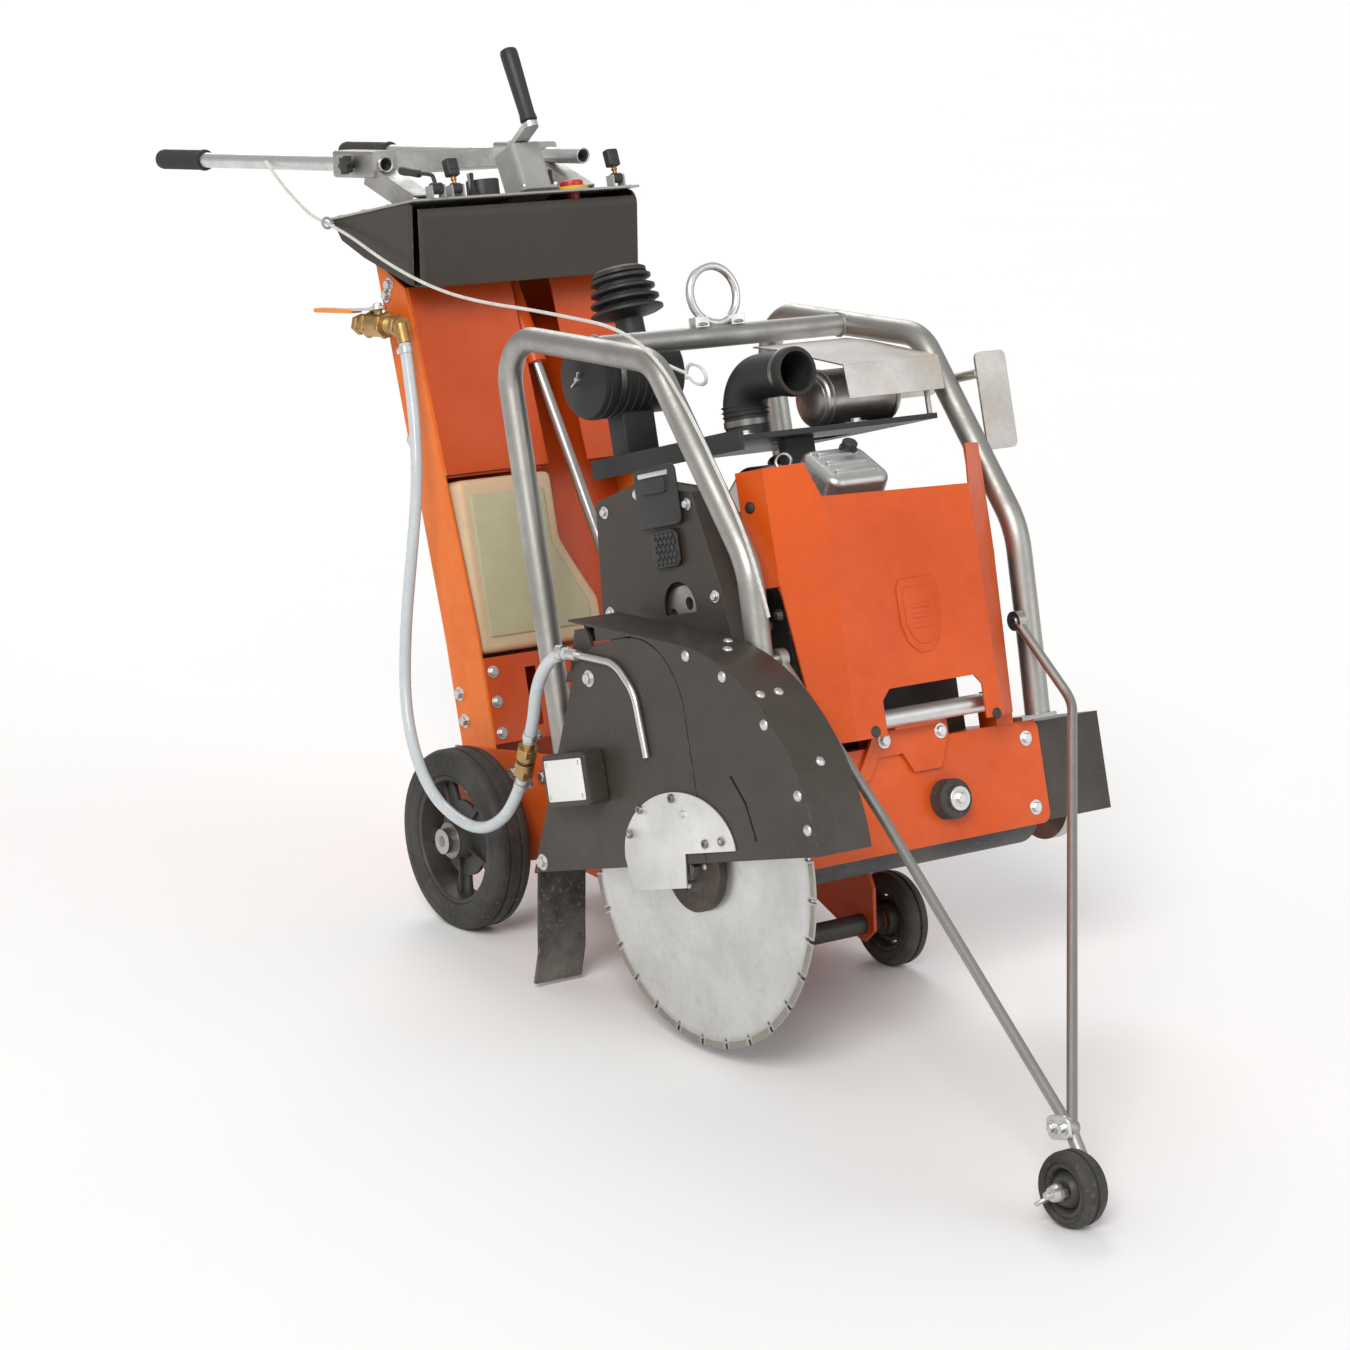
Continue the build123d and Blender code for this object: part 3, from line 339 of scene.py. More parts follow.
def ground_steel():
    """The blade's core: rings of grinding, a darker rim, dulled patches and painted shade in dark
    lines along the slots.
    """
    f = Finish("ground_steel", Metallic=0.85)
    centre = Vector(JOINTS["spindle_turn"]["pos_m"])
    parts = f.t.add("ShaderNodeSeparateXYZ", {0: f.place})
    x = f.t.maths("SUBTRACT", parts.outputs[0], centre.x)
    z = f.t.maths("SUBTRACT", parts.outputs[2], centre.z)
    away = f.t.maths("SQRT", f.t.maths("ADD", f.t.maths("MULTIPLY", x, x),
                                       f.t.maths("MULTIPLY", z, z)))
    turned = f.t.add("ShaderNodeCombineXYZ", {0: f.t.maths("MULTIPLY", away, 900.0),
                                              1: f.t.maths("ARCTAN2", z, x)})
    rings = f.t.noise(turned.outputs[0], 1.0, 4, 0.6)
    base = f.use("patches", Scale=11.0, First=rgb(0.70, 0.70, 0.69), Second=rgb(0.56, 0.56, 0.55))
    turns = f.t.maths("DIVIDE", f.t.maths("SUBTRACT", f.t.maths("ARCTAN2", z, x), NOSE_UP),
                      2 * pi / BLADE_SLOTS)
    aside = f.t.maths("ABSOLUTE", f.t.maths("SUBTRACT", f.t.maths("FRACT", f.t.maths(
        "ADD", turns, BLADE_SLOTS + 0.5)), 0.5))
    # painted shade: near-black lines on the steel where each rim slot runs inward, standing in for
    # the shade seen through the slots
    painted_slot_shade = f.t.maths("MULTIPLY", f.t.ramped(aside, 0.055, 0.03), f.t.ramped(away, 0.233, 0.239))
    rim = f.t.ramped(away, 0.232, 0.244)
    spots = f.t.ramped(f.t.noise(f.place, 60.0, 5, 0.7), 0.55, 0.75)
    colour = f.t.mixed(f.t.maths("MULTIPLY", rim, 0.55), base["Colour"], rgb(0.30, 0.28, 0.26))
    colour = f.t.mixed(f.t.maths("MULTIPLY", spots, 0.25), colour, rgb(0.35, 0.31, 0.27))
    # the painted slot shade goes on last, over the steel colour
    colour = f.t.mixed(painted_slot_shade, colour, rgb(0.045, 0.04, 0.036))
    rough = f.t.ramped(rings, 0.3, 0.7, 0.26, 0.46)
    return f.done(colour, rough, f.bump(rings, 0.15, 0.0002))


def clear_hose():
    """Milky clear water hose, hazy inside."""
    f = Finish("clear_hose", Transmission_Weight=0.15, IOR=1.35, Coat_Weight=0.3,
               Subsurface_Weight=0.25, Subsurface_Scale=0.01)
    base = f.use("patches", Scale=2.5, First=rgb(0.56, 0.62, 0.66), Second=rgb(0.68, 0.72, 0.73))
    haze = f.t.noise(f.place, 30.0, 3, 0.5)
    return f.done(base["Colour"], f.t.ramped(haze, 0.3, 0.7, 0.16, 0.3),
                  f.bump(haze, 0.05, 0.0004))


def twisted_rope():
    """Pale laid rope, darker in the grooves of the lay."""
    f = Finish("twisted_rope", Sheen_Weight=0.3)
    base = f.use("patches", Scale=30.0, First=rgb(0.80, 0.79, 0.74), Second=rgb(0.62, 0.60, 0.55))
    lay = f.t.add("ShaderNodeTexWave", {"Vector": f.place, "Scale": 110.0, "Distortion": 1.5},
                  bands_direction="DIAGONAL")
    colour = f.t.mixed(f.t.ramped(lay.outputs["Fac"], 0.0, 0.35, 0.55, 0.0), base["Colour"],
                       rgb(0.30, 0.28, 0.25))
    return f.done(colour, 0.85, f.bump(lay.outputs["Fac"], 0.6, 0.0012))


def heated_steel():
    """Thin steel near the exhaust: straw and blue tints where it runs hot."""
    f = Finish("heated_steel", Metallic=1.0)
    edges = f.use("soft_edges", Radius=0.0009)
    base = f.use("patches", Scale=9.0, First=rgb(0.62, 0.60, 0.57), Second=rgb(0.44, 0.42, 0.40))
    tint = f.t.ramped(f.t.noise(f.place, 7.0, 3, 0.6), 0.5, 0.7, 0.0, 0.45)
    colour = f.t.mixed(tint, base["Colour"], rgb(0.42, 0.33, 0.22))
    lines = f.use("streaks", Stretch=Vector((60, 900, 900)))["Height"]
    rough = f.t.ramped(lines, 0.3, 0.7, 0.24, 0.5)
    return f.done(colour, rough, f.bump(lines, 0.14, 0.0003, edges["Normal"]))


def cast_metal(name, first, second, scale, depth, rough, metallic=0.9):
    """Sand-cast metal: a pitted skin, brighter where it is rubbed."""
    f = Finish(name, Metallic=metallic)
    edges = f.use("soft_edges", Radius=0.0016)
    base = f.use("patches", Scale=10.0, First=first, Second=second)
    dirt = f.use("dust", Height=0.9, Amount=0.18)["Mask"]
    sand = f.use("pebbles", Scale=scale)["Height"]
    wear = f.use("worn_edges", Edge=edges["Edge"], Scale=90.0, Amount=0.4)["Mask"]
    colour = f.t.mixed(wear, f.t.mixed(dirt, base["Colour"], DUST), rgb(0.7, 0.7, 0.69))
    rough_value = f.t.ramped(sand, 0.4, 1.0, rough, rough + 0.22)
    return f.done(colour, rough_value, f.bump(sand, depth, 0.0006, edges["Normal"]))


def tank_plastic():
    """Natural polyethylene that lets a little light through."""
    f = Finish("tank_plastic", Subsurface_Weight=0.45, Subsurface_Scale=0.03,
               Transmission_Weight=0.06)
    edges = f.use("soft_edges", Radius=0.004)
    base = f.use("patches", Scale=3.0, First=rgb(0.72, 0.54, 0.35), Second=rgb(0.62, 0.44, 0.27))
    dirt = f.use("dust", Height=1.2, Amount=0.2)["Mask"]
    colour = f.t.mixed(dirt, base["Colour"], rgb(0.5, 0.45, 0.38))
    grain = f.use("pebbles", Scale=260.0)["Height"]
    return f.done(colour, f.t.ramped(grain, 0.4, 1.0, 0.36, 0.5),
                  f.bump(grain, 0.18, 0.0005, edges["Normal"]))


FINISHES = {
    "orange": paint("orange_paint", rgb(0.64, 0.085, 0.002), rgb(0.54, 0.062, 0.002)),
    "column": column_paint(),
    "dark": paint("dark_paint", rgb(0.040, 0.032, 0.026), rgb(0.054, 0.045, 0.037), rough=0.42,
                  wear=0.5, coat=0.1),
    "grey": paint("grey_paint", rgb(0.36, 0.36, 0.35), rgb(0.28, 0.28, 0.27), rough=0.38,
                  wear=0.5),
    "black": paint("black_paint", rgb(0.020, 0.020, 0.021), rgb(0.032, 0.031, 0.030), rough=0.40,
                   wear=0.45, coat=0.1),
    "tube": plated("zinc_tube", rgb(0.46, 0.45, 0.42), rgb(0.36, 0.35, 0.33), 0.30, wear=0.5),
    "bright": plated("bright_zinc", rgb(0.74, 0.74, 0.73), rgb(0.60, 0.60, 0.59), 0.22),
    "machined": plated("machined_steel", rgb(0.50, 0.49, 0.47), rgb(0.38, 0.37, 0.35), 0.26,
                       stretch=(900, 60, 900)),
    "shiny_plate": plated("shiny_plate", rgb(0.82, 0.82, 0.81), rgb(0.70, 0.70, 0.69), 0.30,
                          stretch=(40, 400, 900), metallic=0.6),
    "blade": ground_steel(),
    "segment": cast_metal("diamond_segment", rgb(0.30, 0.28, 0.25), rgb(0.42, 0.39, 0.34),
                          1400.0, 0.5, 0.45),
    "alloy": cast_metal("cast_aluminium", rgb(0.62, 0.62, 0.61), rgb(0.50, 0.50, 0.49),
                        900.0, 0.25, 0.24),
    "black_alloy": cast_metal("black_casting", rgb(0.030, 0.030, 0.031), rgb(0.05, 0.05, 0.05),
                              700.0, 0.4, 0.42, metallic=0.3),
    "hot": heated_steel(),
    "plastic": moulded("black_plastic", rgb(0.018, 0.018, 0.019), rgb(0.028, 0.028, 0.028), 0.42),
    "rubber": moulded("black_rubber", rgb(0.016, 0.015, 0.014), rgb(0.030, 0.028, 0.026), 0.58,
                      grain=500.0, depth=0.3),
    "tyre": moulded("tyre_rubber", rgb(0.018, 0.017, 0.016), rgb(0.034, 0.032, 0.029), 0.6,
                    grain=350.0, depth=0.35, grime=0.14),
    "red": moulded("red_plastic", rgb(0.55, 0.012, 0.008), rgb(0.45, 0.008, 0.006), 0.25,
                   depth=0.08, Coat_Weight=0.5),
    "tank": tank_plastic(),
    "brass": plated("brass", rgb(0.55, 0.36, 0.14), rgb(0.42, 0.26, 0.10), 0.26, wear=0.4),
    "hose": clear_hose(),
    "rope": twisted_rope(),
    "rim": moulded("rim_plastic", rgb(0.022, 0.021, 0.020), rgb(0.036, 0.034, 0.032), 0.40,
                   grime=0.12),
    "dull_nickel": plated("dull_nickel", rgb(0.30, 0.29, 0.27), rgb(0.20, 0.19, 0.18), 0.24),
    "yellow_zinc": plated("yellow_zinc", rgb(0.50, 0.28, 0.08), rgb(0.38, 0.20, 0.06), 0.3),
    "label": moulded("label_face", rgb(0.80, 0.80, 0.79), rgb(0.72, 0.72, 0.71), 0.32,
                     depth=0.05, grime=0.1),
    "dark_glass": moulded("dark_glass", rgb(0.012, 0.014, 0.013), rgb(0.02, 0.022, 0.02), 0.1,
                          depth=0.02, grime=0.1, Coat_Weight=1.0),
    "yellow_plastic": moulded("yellow_plastic", rgb(0.75, 0.48, 0.02), rgb(0.62, 0.38, 0.02), 0.34,
                              depth=0.1),
    "dull_black": paint("dull_black", rgb(0.030, 0.028, 0.026), rgb(0.05, 0.047, 0.044),
                        rough=0.36,
                        wear=0.8),
    "orange_grip": moulded("orange_grip", rgb(0.86, 0.27, 0.02), rgb(0.74, 0.20, 0.015), 0.4,
                           depth=0.12),
    "brown_steel": plated("brown_steel", rgb(0.115, 0.095, 0.075), rgb(0.075, 0.062, 0.050), 0.36),
    "white_wire": plated("white_wire", rgb(0.78, 0.78, 0.76), rgb(0.62, 0.61, 0.58), 0.34,
                         metallic=0.4),
}

CAD_FINISH = {
    "base_frame": "orange", "column_housing": "column", "console_housing": "dark",
    "console_panel": "grey", "crank_housing": "grey", "crank_arm": "bright",
    "crank_grip": "plastic", "handle_frame": "tube", "throttle_lever": "plastic",
    "choke_lever": "plastic", "speed_lever": "plastic", "stop_button": "red",
    "lift_screw": "machined", "front_arm": "orange", "rear_axle": "machined",
    "hoop_right": "tube", "hoop_left": "tube", "hoop_crossbar": "tube", "lifting_ring": "bright",
    "engine_crankcase": "black_alloy", "engine_cylinders": "black_alloy",
    "valve_covers": "alloy", "engine_shroud": "black", "air_cleaner": "plastic",
    "intake_elbow": "plastic", "muffler": "hot", "heat_shields": "hot",
    "control_box": "plastic", "belt_guard": "dark", "drive_belts": "rubber",
    "engine_pulley": "machined", "blade_shaft": "machined", "shaft_bearings": "black_alloy",
    "saw_blade": "blade", "blade_flanges": "brown_steel", "rear_guard": "dark",
    "front_guard": "dark", "guard_water_tube": "bright", "guard_face_plates": "shiny_plate",
    "mud_flap": "rubber", "left_flange_cover": "dark", "front_cover": "orange",
    "cover_bracket": "orange", "bumper": "rubber", "water_tank": "tank", "ball_valve": "brass",
    "valve_lever": "bright", "pointer_frame": "tube", "frame_bolts": "bright",
    "hose_coupling": "brass", "rear_wheel_right": "tyre", "rear_wheel_left": "tyre",
    "front_wheel_right": "tyre", "front_wheel_left": "tyre", "pointer_wheel": "tyre",
    "handlebar_right": "tube", "handlebar_left": "tube",
}
for node_name, finish in CAD_FINISH.items():
    mesh = NODES[node_name].data
    mesh.materials.clear()
    mesh.materials.append(FINISHES[finish])


# ---- mesh helpers ----
def finish_piece(mesh, name, finish, body):
    """Puts a mesh on the machine: into the standing frame, shaded, and riding on a body."""
    mesh.transform(STANDING)
    mesh.validate()
    mesh.materials.clear()
    mesh.materials.append(FINISHES[finish])
    piece = bpy.data.objects.new(name, mesh)
    bpy.context.scene.collection.objects.link(piece)
    mesh.shade_smooth()
    mesh.set_sharp_from_angle(angle=radians(SHARP_CORNER))
    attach(piece, body)
    return piece


def cord_curve(name, points, radius):
    """A smooth cord through the machine's level frame."""
    data = bpy.data.curves.new(name, "CURVE")
    data.dimensions = "3D"
    data.bevel_depth = radius * MM
    data.bevel_resolution = 4
    data.resolution_u = 10
    data.use_fill_caps = True
    spline = data.splines.new("NURBS")
    spline.points.add(len(points) - 1)
    for point, spot in zip(spline.points, points):
        point.co = (*at(*spot), 1)
    spline.order_u = 3
    spline.use_endpoint_u = True
    cord = bpy.data.objects.new(name, data)
    bpy.context.scene.collection.objects.link(cord)
    return cord


def facing(start, direction, turn=0.0):
    """A place whose own +Z points along a direction of the level frame."""
    aim = Vector(direction).normalized()
    square = aim.to_track_quat("Z", "Y").to_matrix().to_4x4()
    return Matrix.Translation(start) @ square @ Matrix.Rotation(turn, 4, "Z")


def turned(profile, place, steps=40, ring=False):
    """A lathe shape from (radius, height) pairs round the place's +Z."""
    shape = bmesh.new()
    rows = []
    for radius, height in profile:
        count = steps if radius > 1e-6 else 1
        rows.append([shape.verts.new(place @ Vector((radius * cos(2 * pi * i / steps),
                                                     radius * sin(2 * pi * i / steps), height)))
                     for i in range(count)])
    pairs = list(zip(rows, rows[1:])) + ([(rows[-1], rows[0])] if ring else [])
    for lower, upper in pairs:
        for i in range(steps):
            corners = [lower[i % len(lower)], lower[(i + 1) % len(lower)],
                       upper[(i + 1) % len(upper)], upper[i % len(upper)]]
            corners = list(dict.fromkeys(corners))
            if len(corners) > 2:
                shape.faces.new(corners)
    return shape


def slab(points, depth, place, bevel=0.0, segments=2):
    """A plate cut to an outline in the place's x-y plane, with softened edges."""
    shape = bmesh.new()
    face = shape.faces.new([shape.verts.new((x, y, 0)) for x, y in points])
    raised = bmesh.ops.extrude_face_region(shape, geom=[face])["geom"]
    moved = [item for item in raised if isinstance(item, bmesh.types.BMVert)]
    bmesh.ops.translate(shape, verts=moved, vec=(0, 0, depth))
    bmesh.ops.recalc_face_normals(shape, faces=shape.faces)
    if bevel:
        sharp = [edge for edge in shape.edges if edge.calc_face_angle(0) > radians(25)]
        bmesh.ops.bevel(shape, geom=sharp, offset=bevel, segments=segments, profile=0.5,
                        affect="EDGES", clamp_overlap=True)
    bmesh.ops.transform(shape, matrix=place, verts=shape.verts)
    return shape


def rectangle(width, height, corner=0.0, steps=5):
    """The outline of a rectangle about the middle, with round corners."""
    if not corner:
        return [(sx * width / 2, sy * height / 2)
                for sx, sy in ((-1, -1), (1, -1), (1, 1), (-1, 1))]
    points = []
    for quarter, (sx, sy) in enumerate(((1, 1), (-1, 1), (-1, -1), (1, -1))):
        for step in range(steps + 1):
            angle = pi / 2 * (quarter + step / steps)
            points.append((sx * (width / 2 - corner) + corner * cos(angle),
                           sy * (height / 2 - corner) + corner * sin(angle)))
    return points


def joined(shapes):
    """One mesh from several shapes, each kept as its own shell."""
    whole = bmesh.new()
    for shape in shapes:
        bmesh.ops.remove_doubles(shape, verts=shape.verts, dist=1e-4)
        bmesh.ops.recalc_face_normals(shape, faces=shape.faces)
        part = bpy.data.meshes.new("part")
        shape.to_mesh(part)
        shape.free()
        whole.from_mesh(part)
        bpy.data.meshes.remove(part)
    mesh = bpy.data.meshes.new("joined")
    whole.to_mesh(mesh)
    whole.free()
    return mesh


def make(name, shapes, finish, body="chassis", stands_for=()):
    """One piece from its shapes, in place of the CAD nodes that it stands for."""
    piece = finish_piece(joined(shapes), name, finish, body)
    piece.data.name = name
    if stands_for:
        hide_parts(*stands_for)
    return piece


def pipe(points, radius, sides=5):
    """A bent wire or pipe through points of the level frame."""
    data = bpy.data.curves.new("pipe", "CURVE")
    data.dimensions = "3D"
    data.bevel_depth, data.bevel_resolution, data.resolution_u = radius, sides, 8
    data.use_fill_caps = True
    spline = data.splines.new("NURBS")
    spline.points.add(len(points) - 1)
    for point, spot in zip(spline.points, points):
        point.co = (*spot, 1)
    spline.order_u = 3
    spline.use_endpoint_u = True
    bent = bpy.data.objects.new("pipe", data)
    bpy.context.scene.collection.objects.link(bent)
    graph = bpy.context.evaluated_depsgraph_get()
    mesh = bpy.data.meshes.new_from_object(bent.evaluated_get(graph))
    bpy.data.objects.remove(bent)
    shape = bmesh.new()
    shape.from_mesh(mesh)
    bpy.data.meshes.remove(mesh)
    return shape


def fastener_tree():
    """Geometry Nodes: one small part at each point, turned as the point says."""
    tree = bpy.data.node_groups.new("repeated_parts", "GeometryNodeTree")
    for label, kind in (("Points", "NodeSocketGeometry"), ("Part", "NodeSocketObject"),
                        ("Size", "NodeSocketFloat"), ("Finish", "NodeSocketMaterial")):
        tree.interface.new_socket(label, in_out="INPUT", socket_type=kind)
    tree.interface.new_socket("Geometry", in_out="OUTPUT", socket_type="NodeSocketGeometry")
    t = Tree(tree)
    given = t.add("NodeGroupInput").outputs
    turn = t.add("GeometryNodeInputNamedAttribute", {"Name": "turn"}, data_type="FLOAT_VECTOR")
    rotation = t.add("FunctionNodeEulerToRotation", {0: turn.outputs[0]})
    part = t.add("GeometryNodeObjectInfo", {"Object": given["Part"]})
    placed = t.add("GeometryNodeInstanceOnPoints",
                   {"Points": given["Points"], "Instance": part.outputs["Geometry"],
                    "Rotation": rotation.outputs[0], "Scale": given["Size"]})
    solid = t.add("GeometryNodeRealizeInstances", {"Geometry": placed.outputs[0]})
    coated = t.add("GeometryNodeSetMaterial", {"Geometry": solid.outputs[0],
                                               "Material": given["Finish"]})
    end = t.add("NodeGroupOutput")
    tree.links.new(coated.outputs[0], end.inputs["Geometry"])
    return tree


REPEATED = fastener_tree()


def repeat(name, part, places, finish, body="chassis"):
    """Copies of a small part at each place, as one plain mesh."""
    source = bpy.data.objects.new("source", part)
    points = bpy.data.meshes.new("points")
    points.from_pydata([place.translation for place in places], [], [])
    turns = points.attributes.new("turn", "FLOAT_VECTOR", "POINT")
    for item, place in zip(turns.data, places):
        item.vector = place.to_euler()
    holder = bpy.data.objects.new("holder", points)
    for thing in (source, holder):
        bpy.context.scene.collection.objects.link(thing)
    nodes = holder.modifiers.new("repeated_parts", "NODES")
    nodes.node_group = REPEATED
    values = {"Part": source, "Size": 1.0, "Finish": FINISHES[finish]}
    for item in REPEATED.interface.items_tree:
        if item.in_out == "INPUT" and item.name in values:
            nodes[item.identifier] = values[item.name]
    graph = bpy.context.evaluated_depsgraph_get()
    mesh = bpy.data.meshes.new_from_object(holder.evaluated_get(graph))
    holder.modifiers.clear()
    for thing in (source, holder):
        bpy.data.objects.remove(thing)
    mesh.name = name
    return finish_piece(mesh, name, finish, body)


def hex_bolt(radius=7.0, height=5.0, washer=10.0):
    """A washer and a hexagon head with chamfered corners, standing on z = 0."""
    head = turned([(radius * 0.84, 1.4 + height), (radius, height + 0.4), (radius, 1.4),
                   (radius * 0.9, 1.3)], Matrix(), 6)
    cap = turned([(0, 1.4 + height), (radius * 0.84, 1.4 + height)], Matrix(), 6)
    ring = turned([(0, 1.4), (washer - 0.5, 1.4), (washer, 1.0), (washer, -0.6)], Matrix(), 20)
    return joined([head, cap, ring])


def dome_bolt(radius=7.0, height=4.0):
    """A low domed head on z = 0."""
    profile = [(0, height), (radius * 0.5, height * 0.87), (radius * 0.87, height * 0.5),
               (radius, 0.4), (radius, -0.6)]
    return joined([turned(profile, Matrix(), 20)])


def socket_screw(radius=5.0, height=5.0):
    """A cap screw with a round socket."""
    inner = radius * 0.45
    profile = [(0, height * 0.4), (inner, height * 0.4), (inner, height), (radius - 0.6, height),
               (radius, height - 0.6), (radius, -0.5)]
    return joined([turned(profile, Matrix(), 20)])


def band(centre, direction, radius, width, thickness=1.2):
    """A clamp band round a tube, with its screw housing."""
    place = facing(centre, direction)
    ring = turned([(radius, -width / 2), (radius + thickness, -width / 2),
                   (radius + thickness, width / 2), (radius, width / 2)], place, 36, ring=True)
    screw = slab(rectangle(width * 0.9, 13, 1.5, 3), 6,
                 place @ Matrix.Rotation(pi / 2, 4, "Y")
                 @ Matrix.Translation((0, 0, radius)), 0.8)
    return [ring, screw]


# ---- cords ----
WATER_HOSE = [(-26, -215, 752), (-24, -217, 700), (-14, -226, 620), (-12, -240, 530),
              (-28, -258, 430), (-46, -274, 335), (-56, -290, 225), (-34, -302, 140),
              (14, -310, 72), (84, -317, 34), (156, -324, 16), (226, -331, 26),
              (284, -338, 54), (326, -345, 88)]
GUARD_HOSE = [(366, -352, 138), (396, -358, 168), (420, -364, 204), (450, -366, 236),
              (482, -358, 256), (500, -351, 253)]
POINTER_ROPE = [(-440, -168, 1106), (-400, -172, 1066), (-336, -182, 1022), (-268, -200, 988),
                (-198, -216, 966), (-124, -221, 932), (-40, -226, 884), (55, -231, 838),
                (155, -238, 800), (260, -243, 770), (370, -246, 744), (470, -246, 717),
                (575, -247, 688), (662, -250, 638), (722, -252, 556), (774, -252, 456),
                (816, -250, 352), (826, -246, 262)]
for cord_name, route, cord_radius, cord_length, finish, slot, far_end, with_it in (
        ("water_hose_line", WATER_HOSE, 9, 1.049, "hose", "hose_plastic", "fitting",
         ["hose_coupling"]),
        ("guard_hose_line", GUARD_HOSE, 9, 0.187, "hose", "hose_plastic", "object", []),
        ("pointer_rope_line", POINTER_ROPE, 2.5, 1.629, "rope", "rope_fibre", "object", [])):
    cord = cord_curve(cord_name, route, cord_radius)
    cord.data.materials.append(FINISHES[finish])
    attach(cord, "chassis")
    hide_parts(cord_name.replace("_line", ""))


# ---- wheels ----
def tyre_profile(inner, outer, half, grooves):
    """A solid tyre in section: grooved tread, rounded shoulders and a stepped side wall."""
    side = outer - inner
    tread = [(outer, -half + 11), (outer - 1.5, -half + 6), (outer - 6, -half + 1.6)]
    crown = []
    for groove in grooves:
        crown += [(outer, groove - 2.4), (outer - 3.2, groove - 1.3),
                  (outer - 3.2, groove + 1.3), (outer, groove + 2.4)]
    wall = [(outer - side * 0.42, 0.0), (outer - side * 0.48, 1.4), (outer - side * 0.56, 1.4),
            (outer - side * 0.62, 0.2), (inner + 4, 1.0), (inner + 1.5, 2.6), (inner, 6.0)]
    near = [(radius, -half + depth) for radius, depth in wall]
    far = [(radius, half - depth) for radius, depth in wall]
    return (near[::-1] + tread[::-1] + crown + [(r, -h) for r, h in tread] + far)


def wheel(name, node, body, centre, outer, span, bore, side, arms, tyre_grooves):
    """A tyre, a dished rim on broad arms, and a hub, in place of the plain CAD wheel."""
    x, z = centre
    middle, half = sum(span) / 2, (span[1] - span[0]) / 2
    inner = outer - side
    place = facing((x, middle, z), (0, 1, 0))
    tyre = turned(tyre_profile(inner, outer, half, tyre_grooves), place, 72, ring=True)
    make(name + "_tyre", [tyre], "tyre", body=body, stands_for=(node,))
    lip = half - 5
    hub = bore + 13
    rim = turned([(inner + 0.4, -lip), (inner - 4, -lip - 1), (inner - 7, -lip + 2),
                  (inner - 9, -6), (inner - 9, 6), (inner - 7, lip - 2), (inner - 4, lip + 1),
                  (inner + 0.4, lip)], place, 60, ring=True)
    core = turned([(bore + 0.5, -half + 1), (hub - 3, -half + 1), (hub, -half + 4), (hub + 5, -5),
                   (hub + 5, 5), (hub, half - 4), (hub - 3, half - 1), (bore + 0.5, half - 1)],
                  place, 40, ring=True)
    disc = turned([(hub + 2, -3), (inner * 0.45 + hub * 0.55, -5), (inner * 0.45 + hub * 0.55, 1),
                   (hub + 2, 3)], place, 48, ring=True)
    spokes = []
    reach = inner - 8 - hub
    for i in range(arms):
        outline = [(hub, -hub * 0.36), (inner - 8, -inner * 0.20), (inner - 8, inner * 0.20),
                   (hub, hub * 0.36)]
        spot = place @ Matrix.Rotation(2 * pi * i / arms, 4, "Z")
        spokes.append(slab(outline, 8, spot @ Matrix.Translation((0, 0, -4)), 1.6))
        outer_rib = [(hub, 0), (inner - 8, 0), (inner - 8, 5), (hub, 11)]
        inner_rib = [(hub, 0), (inner - 8, 5), (inner - 8, 11), (hub, 11)]
        for rib, level in ((outer_rib, 3), (inner_rib, -14 if reach > 20 else -8)):
            ribbed = spot @ Matrix.Translation((0, 2, level)) @ Matrix.Rotation(pi / 2, 4, "X")
            spokes.append(slab(rib, 4, ribbed, 0.8))
    make(name + "_rim", [rim, core, disc] + spokes, "rim", body=body)


def wheels():
    """Rear wheels with axle caps, front wheels with nuts, and the guide wheel."""
    for side, word in ((-1, "right"), (1, "left")):
        span = sorted((side * 223, side * 283))
        wheel("rear_" + word, "rear_wheel_" + word, f"rear_wheel_{word}_body", (0, 0), 137, span,
              12.5, 40, 5, (-10, 10))
        cap = facing((0, side * 283.5, 0), (0, side, 0))
        dome = turned([(0, 15), (8, 14), (15, 10), (19, 3), (19.4, 0), (19.4, -2)], cap, 36)
        flange = turned([(19.2, 0.4), (27, 0.4), (28, -0.6), (19.2, -0.6)], cap, 36, ring=True)
        make(f"axle_cap_{word}", [dome, flange], "dull_nickel")
        span = sorted((side * 134, side * 172))
        wheel("front_" + word, "front_wheel_" + word, f"front_wheel_{word}_body",
              FRONT_AXLE, 70, span, 10, 24, 6, (0,))
    wheel("guide", "pointer_wheel", "pointer_wheel_body", GUIDE_AXLE, 47, (-334, -296),
          7, 14, 5, (0,))
    for side in (-1, 1):
        hub = facing((FRONT_AXLE[0], side * 178.4, FRONT_AXLE[1]), (0, side, 0))
        repeat(f"front_axle_nut_{'right' if side < 0 else 'left'}", hex_bolt(9, 6, 14), [hub],
               "bright", body="front_arm_body")


